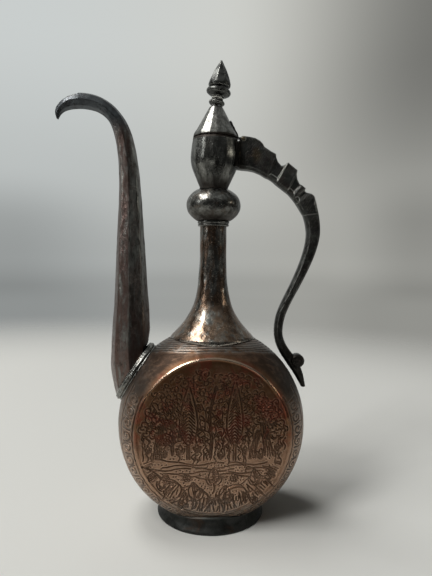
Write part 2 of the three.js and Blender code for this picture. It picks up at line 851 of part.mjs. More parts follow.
const ewer = new THREE.Group();
ewer.add(
  piece('foot_ring', footRing(), darkBronze()),
  piece('base_disc', baseDisc(), copper()),
  piece('body_front', bodyFront(), copper()),
  piece('body_back', bodyBack(), copper()),
  piece('neck_tube', neckTube(), copper()),
  piece('neck_collar', neckCollar(), tinned()),
  piece('knop', knop(), tinned()),
  piece('spout_flange', spoutFlange(), tinned()),
  piece('spout_tube', spoutTube(), tinned()),
  head,
);

// The origin is the middle of the footprint's box, on the table
const bounds = new THREE.Box3().setFromObject(ewer);
ewer.position.x = -(bounds.min.x + bounds.max.x) / 2;

export default ewer;
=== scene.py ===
# The looks of a tinned copper ewer: flask body with engraved medallions, tall neck, faceted mouth and lid,
# hooked spout and cast handle, on a pale table.
# Shapes are written in millimetres from the vessel's own axis and the table, and become metres in piece().
import math
import random

import bpy
import numpy as np
from bpy.props import FloatProperty, FloatVectorProperty, PointerProperty
from mathutils import Matrix, Vector, noise
from mathutils.kdtree import KDTree


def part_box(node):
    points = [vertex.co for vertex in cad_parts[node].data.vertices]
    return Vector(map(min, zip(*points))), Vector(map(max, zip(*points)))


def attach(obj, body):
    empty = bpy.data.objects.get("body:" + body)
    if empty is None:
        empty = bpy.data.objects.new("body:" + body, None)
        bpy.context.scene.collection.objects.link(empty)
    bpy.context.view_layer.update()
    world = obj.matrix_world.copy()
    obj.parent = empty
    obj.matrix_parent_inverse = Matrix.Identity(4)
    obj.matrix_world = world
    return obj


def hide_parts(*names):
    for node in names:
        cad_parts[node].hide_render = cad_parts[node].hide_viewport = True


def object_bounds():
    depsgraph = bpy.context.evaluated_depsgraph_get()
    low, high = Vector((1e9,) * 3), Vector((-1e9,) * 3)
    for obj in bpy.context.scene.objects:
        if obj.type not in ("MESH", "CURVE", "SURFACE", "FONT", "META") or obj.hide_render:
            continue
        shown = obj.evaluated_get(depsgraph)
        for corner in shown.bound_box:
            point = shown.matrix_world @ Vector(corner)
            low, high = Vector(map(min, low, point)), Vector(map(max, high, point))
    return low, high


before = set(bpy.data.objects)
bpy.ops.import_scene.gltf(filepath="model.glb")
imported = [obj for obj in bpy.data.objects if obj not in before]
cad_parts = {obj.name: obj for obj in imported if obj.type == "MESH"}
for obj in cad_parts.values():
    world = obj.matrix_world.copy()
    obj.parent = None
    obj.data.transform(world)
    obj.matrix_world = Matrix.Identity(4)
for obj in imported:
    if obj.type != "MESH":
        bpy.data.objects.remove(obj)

bl_info = {
    "name": "Tinned copper ewer",
    "version": (1, 0, 0),
    "blender": (4, 5, 0),
    "location": "View3D > Sidebar > Ewer",
    "description": "Builds the pieces, finishes and table of a tinned copper ewer",
    "category": "Object",
}

CAD_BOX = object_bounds()
MM = 0.001


def middle_of(node):
    """The middle of a node's box, in millimetres."""
    return [(low + high) / 2 / MM for low, high in zip(*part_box(node))]


AXIS = middle_of("base_disc")[0]


def place_of(node):
    """The middle of a node's box, from the vessel's own axis."""
    x, y, z = middle_of(node)
    return x - AXIS, y, z


# Sizes and colours

class EwerSizes(bpy.types.PropertyGroup):
    engraving: FloatProperty(
        name="Engraving", description="Depth of the engraved lines", default=0.35 * MM, unit="LENGTH")
    hammering: FloatProperty(
        name="Hammering", description="How far raised sheet wanders from its true form", default=0.35 * MM,
        unit="LENGTH")
    casting: FloatProperty(
        name="Casting", description="How far cast pieces wander from their true form", default=0.18 * MM,
        unit="LENGTH")


def colour(name, description, value):
    return FloatVectorProperty(name=name, description=description, default=value, subtype="COLOR", size=3,
                               min=0, max=1)


class EwerColours(bpy.types.PropertyGroup):
    copper: colour("Copper", "Rubbed copper", (0.39, 0.240, 0.158))
    brown: colour("Brown", "Copper under its brown patina", (0.145, 0.072, 0.036))
    red: colour("Red", "Red oxide patches on the copper", (0.20, 0.058, 0.034))
    tin: colour("Tin", "Old tin", (0.42, 0.42, 0.39))
    # This colour also paints shade: the black band along the lid's joint, the dark low parts of the knop and cup, the
    # body's upper rim band and both ends of the handle.
    grime_and_shade: colour("Grime", "Dirt in lines and corners", (0.018, 0.014, 0.011))
    bronze: colour("Bronze", "Patina of the cast pieces", (0.068, 0.070, 0.066))
    worn: colour("Worn bronze", "Cast metal where its edges are rubbed", (0.36, 0.36, 0.33))
    brass: colour("Brass", "Rivets and pins", (0.50, 0.42, 0.28))
    table: colour("Table", "The pale table", (0.74, 0.745, 0.715))


# Shapes

def smooth_line(points, steps):
    """A centripetal curve through points of any dimension, sampled evenly in its parameter."""
    knots = [Vector(p) for p in points]
    ghosts = [2 * knots[0] - knots[1], *knots, 2 * knots[-1] - knots[-2]]
    line = []
    spans = len(knots) - 1
    for i in range(steps + 1):
        t = i / steps * spans
        k = min(int(t), spans - 1)
        line.append(tuple(spline_point(ghosts[k:k + 4], t - k)))
    return line


def spline_point(p, share):
    """The point of a centripetal Catmull-Rom span between p[1] and p[2]."""
    gaps = [max((b - a).length, 1e-6) ** 0.5 for a, b in zip(p, p[1:])]
    times = [0, gaps[0], gaps[0] + gaps[1], sum(gaps)]
    t = times[1] + share * gaps[1]
    level = list(p)
    for width in (1, 2, 3):
        level = [
            ((times[i + width] - t) * level[i] + (t - times[i]) * level[i + 1]) / (times[i + width] - times[i])
            for i in range(len(level) - 1)
        ]
    return level[0]


def grid(points, closed=False, caps=(False, False)):
    """Points [rows, columns, 3] as a flat list and its faces. They close round the columns, and round the rows
    too when closed. caps puts a fan over the first row, the last one, or both."""
    rows, columns = points.shape[:2]
    faces = []
    for i in range(rows if closed else rows - 1):
        below, above = i * columns, (i + 1) % rows * columns
        for j in range(columns):
            k = (j + 1) % columns
            faces.append((below + j, below + k, above + k, above + j))
    flat = points.reshape(-1, 3)
    for end, first in enumerate((0, (rows - 1) * columns)):
        if caps[end]:
            centre = len(flat)
            flat = np.vstack([flat, flat[first:first + columns].mean(axis=0)])
            corners = [(first + j, first + (j + 1) % columns) for j in range(columns)]
            faces += [(centre, b, a) if end == 0 else (centre, a, b) for a, b in corners]
    return flat, faces


def capped(points):
    return grid(points, caps=(True, True))


def turned(profile, sides, across=False):
    """A [radius, height] profile turned about Z, or about Y when it lies across. Upwards is outwards."""
    angles = np.linspace(0, 2 * math.pi, sides, endpoint=False) - math.pi / 2
    radius, height = np.array(profile).T
    around = [radius[:, None] * np.cos(angles), radius[:, None] * np.sin(angles)]
    level = np.repeat(height[:, None], sides, axis=1)
    if across:
        return np.stack([around[0], level, -around[1]], axis=2)
    return np.stack([around[0], around[1], level], axis=2)


def solid(profile, sides):
    """A closed profile, whose last point repeats its first, turned into a solid."""
    return turned(profile[:-1], sides)


def crosswise(half_line, sides, middle):
    """A half profile and its mirror image, turned about a line that lies across the vessel."""
    line = [*half_line, *[(radius, -level) for radius, level in reversed(half_line)]]
    return capped(turned(line, sides, across=True) + middle)


def faceted(profile, corners, columns=4, soft=0.05, bulge=0.0):
    """A profile turned with facets between corners, in degrees from the front. The radii are those of the
    corners, soft is the share of a facet that its soft arris takes, and bulge goes from flat 0 to round 1."""
    turns = [math.radians(c - 90) for c in (*corners, corners[0] + 360)]
    shares = np.linspace(soft, 1 - soft, columns)[:, None]
    chords = np.concatenate([(1 - shares) * (math.cos(a), math.sin(a)) + shares * (math.cos(b), math.sin(b))
                             for a, b in zip(turns, turns[1:])])
    ring = chords / np.linalg.norm(chords, axis=1)[:, None] ** bulge
    radius, height = np.array(profile).T
    level = np.repeat(height[:, None], len(ring), axis=1)
    return np.stack([radius[:, None] * ring[:, 0], radius[:, None] * ring[:, 1], level], axis=2)


def even(facets, wander, seed):
    """Corners of even facets, from one at the front, each off its place by up to wander degrees."""
    hand = random.Random(seed)
    return [360 * k / facets + hand.uniform(-wander, wander) for k in range(facets)]


def to_corners(line, facets):
    """A profile whose radii are to the flats, with radii to the corners instead."""
    return [(radius / math.cos(math.pi / facets), height) for radius, height in line]


def offset(line, distance):
    """A 2D line moved to its left side by a distance."""
    line = np.array(line, dtype=float)
    along = np.gradient(line, axis=0)
    along /= np.linalg.norm(along, axis=1)[:, None]
    return line + distance * np.stack([-along[:, 1], along[:, 0]], axis=1)


def walled(line, wall):
    """A profile line with a wall of even thickness on its inner side, closed on itself."""
    inner = offset(line, wall)
    inner[0][1], inner[-1][1] = line[0][1], line[-1][1]
    return np.vstack([line, inner[::-1], line[:1]])


def leaning(points, degrees, pivot):
    """Points turned about a Y axis through pivot, an (x, z) place."""
    c, s = math.cos(math.radians(degrees)), math.sin(math.radians(degrees))
    x, z = points[..., 0] - pivot[0], points[..., 2] - pivot[1]
    moved = points.copy()
    moved[..., 0] = x * c + z * s + pivot[0]
    moved[..., 2] = z * c - x * s + pivot[1]
    return moved


def handmade(points, amount, scale, seed):
    """Points wandering by a slow noise, as raised or cast metal does. All in millimetres."""
    flat = points.reshape(-1, 3)
    shift = [noise.noise_vector(Vector(p) / scale + Vector((seed, 2 * seed, 3 * seed))) for p in flat.tolist()]
    return (flat + amount * np.array(shift)).reshape(points.shape)


def piece(name, shape, body, node, metal, cuts=None):
    """A mesh object from millimetre points and faces, riding on its body in place of a node."""
    points, faces = shape
    places = np.clip((points + (AXIS, 0, 0)) * MM, CAD_BOX[0], CAD_BOX[1])
    mesh = bpy.data.meshes.new(name)
    mesh.from_pydata(places.tolist(), [], faces)
    mesh.validate()
    mesh.shade_smooth()
    if cuts is not None:
        mesh.attributes.new("cut", "FLOAT", "POINT").data.foreach_set("value", cuts)
    mesh.materials.append(metal)
    made = bpy.data.objects.new(name, mesh)
    bpy.context.collection.objects.link(made)
    made.modifiers.new("Flat faces stay flat", "WEIGHTED_NORMAL").keep_sharp = True
    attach(made, body)
    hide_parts(node)


# Shader maths

def operator(operation):
    """A Math operation as the two methods of an operator, with the wire on its left and on its right."""
    def forward(self, other):
        return self.math(operation, other)

    def reflected(self, other):
        return self.node("ShaderNodeMath", {"operation": operation}, {0: other, 1: self})

    return forward, reflected


class Wire:
    """An output socket. Arithmetic on it adds Math nodes to its tree."""
    __add__, __radd__ = operator("ADD")
    __sub__, __rsub__ = operator("SUBTRACT")
    __mul__, __rmul__ = operator("MULTIPLY")
    __truediv__, __rtruediv__ = operator("DIVIDE")
    __pow__, __rpow__ = operator("POWER")

    def __init__(self, tree, socket=None):
        self.tree = tree
        self.socket = socket

    def node(self, kind, settings=None, inputs=None, output=0):
        """A node of that type in the same tree, its settings, the values or links of its sockets."""
        made = self.tree.nodes.new(kind)
        for key, value in (settings or {}).items():
            setattr(made, key, value)
        for key, value in (inputs or {}).items():
            if isinstance(value, Wire):
                self.tree.links.new(value.socket, made.inputs[key])
            else:
                made.inputs[key].default_value = value
        return Wire(self.tree, made.outputs[output]) if made.outputs else None

    def math(self, operation, *others):
        """A Math node on this value and the others."""
        return self.node("ShaderNodeMath", {"operation": operation}, dict(enumerate((self, *others))))

    def step(self, low, high):
        """0 below low and 1 above high, smooth between. With low above high it falls instead."""
        rising = self.node("ShaderNodeMapRange", {"interpolation_type": "SMOOTHSTEP"},
                           {"Value": self, "From Min": min(low, high), "From Max": max(low, high)})
        return rising if low < high else 1 - rising

    def mixed(self, low, high):
        """Colour low where self is 0, colour high where it is 1."""
        return self.node("ShaderNodeMix", {"data_type": "RGBA"}, {0: self, 6: low, 7: high}, 2)

    def between(self, low, high):
        """Number low where self is 0, number high where it is 1."""
        return self * (high - low) + low

    def xyz(self):
        return [self.node("ShaderNodeSeparateXYZ", inputs={0: self}, output=i) for i in range(3)]

    def stretched(self, x, y, z):
        return self.node("ShaderNodeVectorMath", {"operation": "MULTIPLY"}, {0: self, 1: (x, y, z)})

    def cloud(self, size, detail=3, rough=0.55, warp=0):
        """Noise from 0 to 1 with clouds of that size in millimetres, where self is a place in millimetres."""
        return self.node("ShaderNodeTexNoise", inputs={
            "Vector": self, "Scale": 1 / size, "Detail": detail, "Roughness": rough, "Distortion": warp})

    def dents(self, size):
        """Rounded hammer marks of that size in millimetres, 0 in their middles."""
        return self.node("ShaderNodeTexVoronoi", {"feature": "SMOOTH_F1"}, {
            "Vector": self, "Scale": 1 / size, "Smoothness": 0.6})


def blank(made):
    """The start of a new material's or world's own nodes."""
    made.use_nodes = True
    made.node_tree.nodes.clear()
    return Wire(made.node_tree)


def rgba(value):
    return (*value, 1)


def times(tone, share):
    return rgba([min(1.0, share * v) for v in tone])


def millimetres(wire):
    """The place on a piece in millimetres, in the row frame."""
    here = wire.node("ShaderNodeTexCoord", output="Object")
    return here.stretched(1 / MM, 1 / MM, 1 / MM)


def finish(name, looks, glance=0.5):
    """A material. looks(wire, place) gives colour, roughness, metallic and a list of (height, reach) bumps."""
    made = bpy.data.materials.new(name)
    wire = blank(made)
    base, rough, metallic, bumps = looks(wire, millimetres(wire))
    normal = None
    for height, reach in bumps:
        inputs = {"Height": height, "Distance": reach * MM, "Strength": 1.0}
        if normal:
            inputs["Normal"] = normal
        normal = wire.node("ShaderNodeBump", inputs=inputs)
    shader = wire.node("ShaderNodeBsdfPrincipled", inputs={
        "Base Color": base, "Roughness": rough, "Metallic": metallic, "Normal": normal,
        "Specular IOR Level": glance})
    wire.node("ShaderNodeOutputMaterial", inputs={"Surface": shader})
    return made


def attribute(wire, name):
    return wire.node("ShaderNodeAttribute", {"attribute_name": name}, output="Fac")


def edges(wire):
    """1 on edges that stand out, from the mesh itself."""
    return wire.node("ShaderNodeNewGeometry", output="Pointiness").step(0.52, 0.60)


def near_edge(wire, width):
    """1 beside sharp edges, up to that width in millimetres, and 0 elsewhere."""
    round_normal = wire.node("ShaderNodeBevel", {"samples": 4}, {"Radius": width * MM})
    true_normal = wire.node("ShaderNodeNewGeometry", output="True Normal")
    alike = wire.node("ShaderNodeVectorMath", {"operation": "DOT_PRODUCT"}, {0: round_normal, 1: true_normal},
                      output="Value")
    return alike.step(0.985, 0.90)


def hollows(wire):
    """1 in inside corners."""
    return wire.node("ShaderNodeNewGeometry", output="Pointiness").step(0.48, 0.42)


# Finishes

SHOULDER_GROOVES = 22
GLINT = (0.55, 0.41, 0.31, 1)
# Light copper for the painted highlight on the ridges beside the engraved lines.
RIDGE_HIGHLIGHT = (0.60, 0.42, 0.30, 1)
# Pale copper for the painted highlight on the medallion's lip.
LIP_HIGHLIGHT = (0.62, 0.50, 0.38, 1)
# Pale gold for the painted highlight on the neck's flare.
FLARE_HIGHLIGHT = (0.48, 0.35, 0.25, 1)
BLUE_BLACK = (0.07, 0.085, 0.095, 1)
BROWN_SPOT = (0.095, 0.072, 0.048, 1)


def body_finish(name):
    """Worn brown copper. Dirt lies in what the dish is cut with, and the grooved shoulder keeps some tin."""
    tones = bpy.context.scene.ewer_colours

    def looks(wire, place):
        x, y, z = place.xyz()
        x = x - AXIS
        cut = attribute(wire, "cut")
        ridge = (cut * -2.5).math("MAXIMUM", 0.0)
        groove = cut.math("MAXIMUM", 0.0)
        ring = ((x / SHOULDER_RINGS[0]) ** 2.0 + (y / SHOULDER_RINGS[1]) ** 2.0) ** 0.5
        ring = ring + (place.cloud(26, 2) - 0.5) * 0.05 + (place.cloud(7, 2) - 0.5) * 0.012
        banded = z.step(124, 131) * ring.step(1.03, 0.97)
        wave = (ring * (2 * math.pi * SHOULDER_GROOVES)).math("SINE")
        ringed = wave.step(0.0, 0.9) * banded * place.cloud(9, 3).step(0.25, 0.5)
        flat = (x ** 2.0 + ((z - BODY_CENTRE) / BODY_STRETCH) ** 2.0) ** 0.5
        lip = flat.step(MEDALLION - 0.8, MEDALLION) * flat.step(MEDALLION + 1.6, MEDALLION + 0.8)
        rim = flat.step(MEDALLION, MEDALLION + 6)
        face = 1 - rim
        worn = place.cloud(13, 4, 0.65, 0.6)
        fine = place.cloud(1.5, 5, 0.75)
        mottle = place.cloud(4.5, 4, 0.7, 0.4)
        # Copper shows low on the body and brown above it: partly wear, partly painted shade that keeps the lamps'
        # reflection dim on the upper half. Towards the very bottom the copper fades again.
        rubbed = z.step(88, 52) * 0.8 + worn.step(0.45, 0.75) * 0.3 + mottle.step(0.5, 0.8) * 0.25
        rubbed = rubbed * z.step(20, 48).between(0.6, 1.0)
        skin = rubbed.mixed(rgba(tones.brown), rgba(tones.copper))
        patches = place.cloud(18, 3, 0.6, 1.0).step(0.47, 0.60) * z.step(62, 84) * face
        skin = (patches * 0.85).mixed(skin, rgba(tones.red))
        streaks = place.stretched(0.4, 1, 1).cloud(5, 4, 0.7).step(0.42, 0.7) * rim * z.step(110, 128) * (1 - banded)
        skin = (streaks * 0.5).mixed(skin, rgba(tones.copper))
        glints = place.cloud(1.1, 4, 0.8).step(0.53, 0.66) * place.cloud(9, 3).step(0.35, 0.6) * z.step(96, 60)
        skin = (glints * 0.5).mixed(skin, GLINT)
        side = rim * x.math("ABSOLUTE").step(38, 62) * 0.5
        tinned = (banded * 0.75 + side + z.step(36, 18) * 0.55) * mottle.step(0.25, 0.65)
        skin = tinned.mixed(skin, times(tones.tin, 0.62))
        black = place.cloud(12, 3, 0.6, 0.5).step(0.3, 0.7) * 0.35 + 0.42
        smoky = place.cloud(19, 4, 0.6, 0.7).step(0.52, 0.70) * face * 0.55
        dirt_and_shade = (groove * black).math("MAXIMUM", ringed * 0.85)
        dirt_and_shade = dirt_and_shade.math("MAXIMUM", mottle.step(0.42, 0.26) * 0.45 + fine.step(0.46, 0.30) * 0.3)
        dirt_and_shade = dirt_and_shade.math("MAXIMUM", smoky * mottle.step(0.30, 0.60))
        # Painted shade: the upper rim band is painted dark, less so along its copper streaks, so that the lamps'
        # highlight stays dim there. The body is also made darker towards the bottom.
        upper = rim * z.step(92, 116) * (1 - banded)
        dirt_and_shade = dirt_and_shade.math("MAXIMUM", z.step(26, 12) * 0.25 + upper * streaks.between(0.82, 0.58))
        skin = dirt_and_shade.mixed(skin, rgba(tones.grime_and_shade))
        # Painted highlight: the low ridges beside the engraved lines are painted light, more so low on the body, as
        # lit relief would shine.
        skin = (ridge * z.step(112, 60).between(0.3, 0.8)).mixed(skin, RIDGE_HIGHLIGHT)
        # Painted highlight: the lip is painted pale towards the top of the medallion, where the lamps catch it.
        skin = (lip * z.step(104, 140) * 0.5).mixed(skin, LIP_HIGHLIGHT)
        rough = worn.between(0.26, 0.44) + dirt_and_shade * 0.2 + fine * 0.1 - lip * 0.22
        metallic = 0.97 - dirt_and_shade * 0.4
        return skin, rough, metallic, [
            (place.cloud(14, 2), 0.45),
            (place.dents(7.0), 0.25),
            (1 - ringed, 0.3),
            (1 - groove, 0.9),
            (mottle, 0.16),
            (place.cloud(1.2, 4, 0.6), 0.09),
        ]

    return finish(name, looks, 0.25)


def tin_finish(name, under, bare=0.2, streak=1.0, bright=1.0, pits=0.3, seam=None, dull=0.0, cold=None,
               split=None, stain=0.8, beaten=1.0, shaded_below=None, rubbed=None):
    """Old tin: under shows through where it is bare, in streaks of that length. bright, pits, dull, stain and
    beaten say how much of each. The rest are places in millimetres: seam a height where a black band of
    painted shadow lies along the joint under the lid, cold one above which the metal is blue-black, shaded_below
    one below which the metal is painted dark as shade, rubbed one below which pale patches are painted as the
    highlight on the neck's flare, and split an x from the axis with brown on its left."""
    tones = bpy.context.scene.ewer_colours

    def looks(wire, place):
        x, _, height = place.xyz()
        drawn = place.stretched(1, 1, 1 / streak)
        cloudy = drawn.cloud(5, 4, 0.62, 0.4)
        fine = place.cloud(1.1, 4, 0.7)
        smoky = drawn.cloud(3.2, 4, 0.7, 0.5)
        share = (cloudy * 0.7 + place.cloud(16, 3) * 0.3).step(0.64 - 0.3 * bare, 0.78 - 0.3 * bare)
        skin = smoky.step(0.35, 0.75).mixed(times(tones.tin, 0.30 * bright), times(tones.tin, bright))
        if split:
            right = (x - AXIS - split).step(-1.5, 1.0) * height.step(130, 230)
            skin = (right * smoky.step(0.3, 0.6) * 0.6).mixed(skin, times(tones.tin, 1.7 * bright))
            skin = (height.step(215, 150) * 0.35).mixed(skin, rgba(tones.grime_and_shade))
            share = (share * right.between(1.0, 0.6)).math("MAXIMUM", (1 - right) * smoky.step(0.65, 0.45))
        skin = (share * (0.3 + 0.7 * bare)).mixed(skin, rgba(under))
        if cold:
            skin = (height.step(cold - 9, cold + 9) * 0.85).mixed(skin, BLUE_BLACK)
        pit = place.cloud(0.9, 2, 0.5).step(0.62, 0.70) * place.cloud(8, 2).step(0.4, 0.6)
        grimy_and_shaded = hollows(wire) * 0.8 + pit * pits + place.cloud(6, 4, 0.7).step(0.50, 0.76) * stain
        # Painted shadow: a black band along the joint under the lid, where the gap between lid and cup lies in shade.
        if seam:
            grimy_and_shaded = grimy_and_shaded + (height - seam).math("ABSOLUTE").step(2.1, 1.4)
        # Painted highlight: below that height the tin is painted pale in patches, where the lamps shine on the neck's
        # flare.
        if rubbed:
            low = height.step(rubbed + 10, rubbed - 6) * place.cloud(6, 3).step(0.35, 0.6)
            skin = (low * 0.38).mixed(skin, FLARE_HIGHLIGHT)
        # Painted shade: below that height the metal is painted dark, low on the knop and on the cup.
        if shaded_below:
            grimy_and_shaded = grimy_and_shaded + height.step(shaded_below + 6, shaded_below - 6) * 0.85
        grimy_and_shaded = grimy_and_shaded.math("MINIMUM", 1.0)
        skin = (edges(wire) * 0.5).mixed(skin, times(tones.tin, 1.4 * bright))
        skin = grimy_and_shaded.mixed(skin, times(tones.grime_and_shade, 1.6))
        rough = smoky.between(0.14, 0.30) + grimy_and_shaded * 0.25 + fine * 0.06 + dull
        metallic = 1 - grimy_and_shaded * 0.4
        return skin, rough, metallic, [
            (place.dents(5.5), 0.26 * beaten),
            (place.cloud(3.2, 2), 0.14 * beaten),
            (pit, -0.08),
            (place.cloud(0.8, 3, 0.6), 0.04),
        ]

    return finish(name, looks, 0.3)


def bronze_finish(name, brown_patch, shine, flecked, lumpy=1.0, hatched=0.0, shade=1.0, rubbed=1.0):
    """Near-black patina on cast metal, rubbed on its edges. shade makes a darker copy, as painted shade for pieces
    in shade. hatched is for the handle: it adds chisel lines, a brown spot on the crest, painted shade at both
    ends and a gap in the rub across the strap."""
    tones = bpy.context.scene.ewer_colours

    def looks(wire, place):
        x, _, z = place.xyz()
        cloudy = place.cloud(8, 4, 0.6, 0.5)
        flecks = place.cloud(1.3, 5, 0.75).step(0.50, 0.70)
        brown = place.cloud(15, 3, 0.5, 0.8).step(0.68 - brown_patch * 0.3, 0.84 - brown_patch * 0.3)
        rub = near_edge(wire, 1.1) * cloudy.step(0.1, 0.45) * rubbed
        # Painted shade: shade makes a darker copy of the bronze for pieces that sit in shade, most of all the foot
        # under the body.
        skin = cloudy.step(0.3, 0.8).mixed(times(tones.bronze, 0.5 * shade), times(tones.bronze, 1.8 * shade))
        skin = (brown * 0.35).mixed(skin, times(tones.brown, 0.5))
        skin = (flecks * flecked).mixed(skin, times(tones.worn, 0.6))
        skin = (hollows(wire) * 0.7).mixed(skin, rgba(tones.grime_and_shade))
        bumps = [(place.cloud(4.5, 2), 0.25 * lumpy), (place.cloud(1.1, 4, 0.65), 0.14 * lumpy)]
        if hatched:
            sway = place.cloud(6, 2) * 5
            lines = (x * 3.2 - z * 2.0 + sway).math("SINE").step(0.35, 0.95)
            lines = lines * place.cloud(7, 2).step(0.42, 0.52) * hatched
            skin = (lines * 0.9).mixed(skin, rgba(tones.grime_and_shade))
            bumps.append((1 - lines, 0.4))
            spot = ((x - AXIS - 35) ** 2.0 + ((z - 302) * 0.7) ** 2.0) ** 0.5
            skin = ((spot + cloudy * 3).step(7.5, 2.5) * 0.8).mixed(skin, BROWN_SPOT)
            # Painted shade: near the cup, over the root plate, and low on the handle the bronze is painted
            # near-black, and the rub is left off there.
            dark = (x - AXIS).step(26, 21).math("MAXIMUM", z.step(150, 136))
            skin = (dark * 0.75).mixed(skin, rgba(tones.grime_and_shade))
            rub = rub * (1 - dark) * (1 - z.step(248, 251) * z.step(260, 257) * 0.8)
        skin = rub.mixed(skin, times(tones.worn, 1.9))
        rough = cloudy.between(shine - 0.08, shine + 0.16) + flecks * 0.12 - rub * 0.12
        metallic = 0.9 - hollows(wire) * 0.4 - rub * 0.55
        return skin, rough, metallic, bumps

    return finish(name, looks, 0.35)


def brass_finish(name, rub=0.5):
    """Rivet and pin ends under grime, yellow where they are rubbed."""
    tones = bpy.context.scene.ewer_colours

    def looks(wire, place):
        cloudy = place.cloud(1.2, 4, 0.6)
        skin = cloudy.step(0.3, 0.7).mixed(times(tones.brass, rub), times(tones.grime_and_shade, 1.5))
        return skin, cloudy.between(0.25, 0.5), cloudy.between(1.0, 0.7), [(place.cloud(0.7, 3), 0.04)]

    return finish(name, looks)


# Measures of the vessel

BODY_RADIUS = 78.6
BODY_CENTRE = 77.4
BODY_STRETCH = 80.7 / BODY_RADIUS
BODY_DEPTH = 42.0
MEDALLION = 60.0
MEDALLION_DOME = 0.7
LIP_RISE = 0.34
ENGRAVED = 75.0
RIM_BULGE = 26.6
RIM_START = BODY_RADIUS - RIM_BULGE
RIM_DEPTH = BODY_DEPTH / math.sqrt(1 - ((MEDALLION - RIM_START) / RIM_BULGE) ** 2)
BODY_BOTTOM = 6.2
NECK_HOLE = 24.0
SHOULDER_RINGS = (53.0, 39.4)

SHEET = 1.2
FACETS = 14
CUP_CORNERS = even(FACETS, 1.5, 4)
LID_CORNERS = [1.6, 26, 52, 78, 103, 129, 154, 180, 206, 231, 257, 283, 318, 343.8]
HEAD_LEAN = 1.0
FINIAL_LEAN = 8.0
BUD_LEAN = -5.0
CUP_TOP = 315.2
LID_BOTTOM = 315.9
LID_TOP = 341.9
CUP_BOTTOM = 273.9
RING_BOTTOM = 342.92
BEAD_BOTTOM = 348.22
BUD_BOTTOM = 357.93
HINGE = (22.8, 0, 315.3)
LEAF_SLOPE = 28.4
RIVET = 1.6
SPOUT_ANGLE = 33.0
TIP = 0.02


# Engraving: strokes as lines of points with a width. u runs right and v up from the medallion's middle.

LINE = 1.1
FINE = 0.85


def away(u, v, reach, angle):
    """The place that far from (u, v), at an angle in radians."""
    return u + reach * math.cos(angle), v + reach * math.sin(angle)


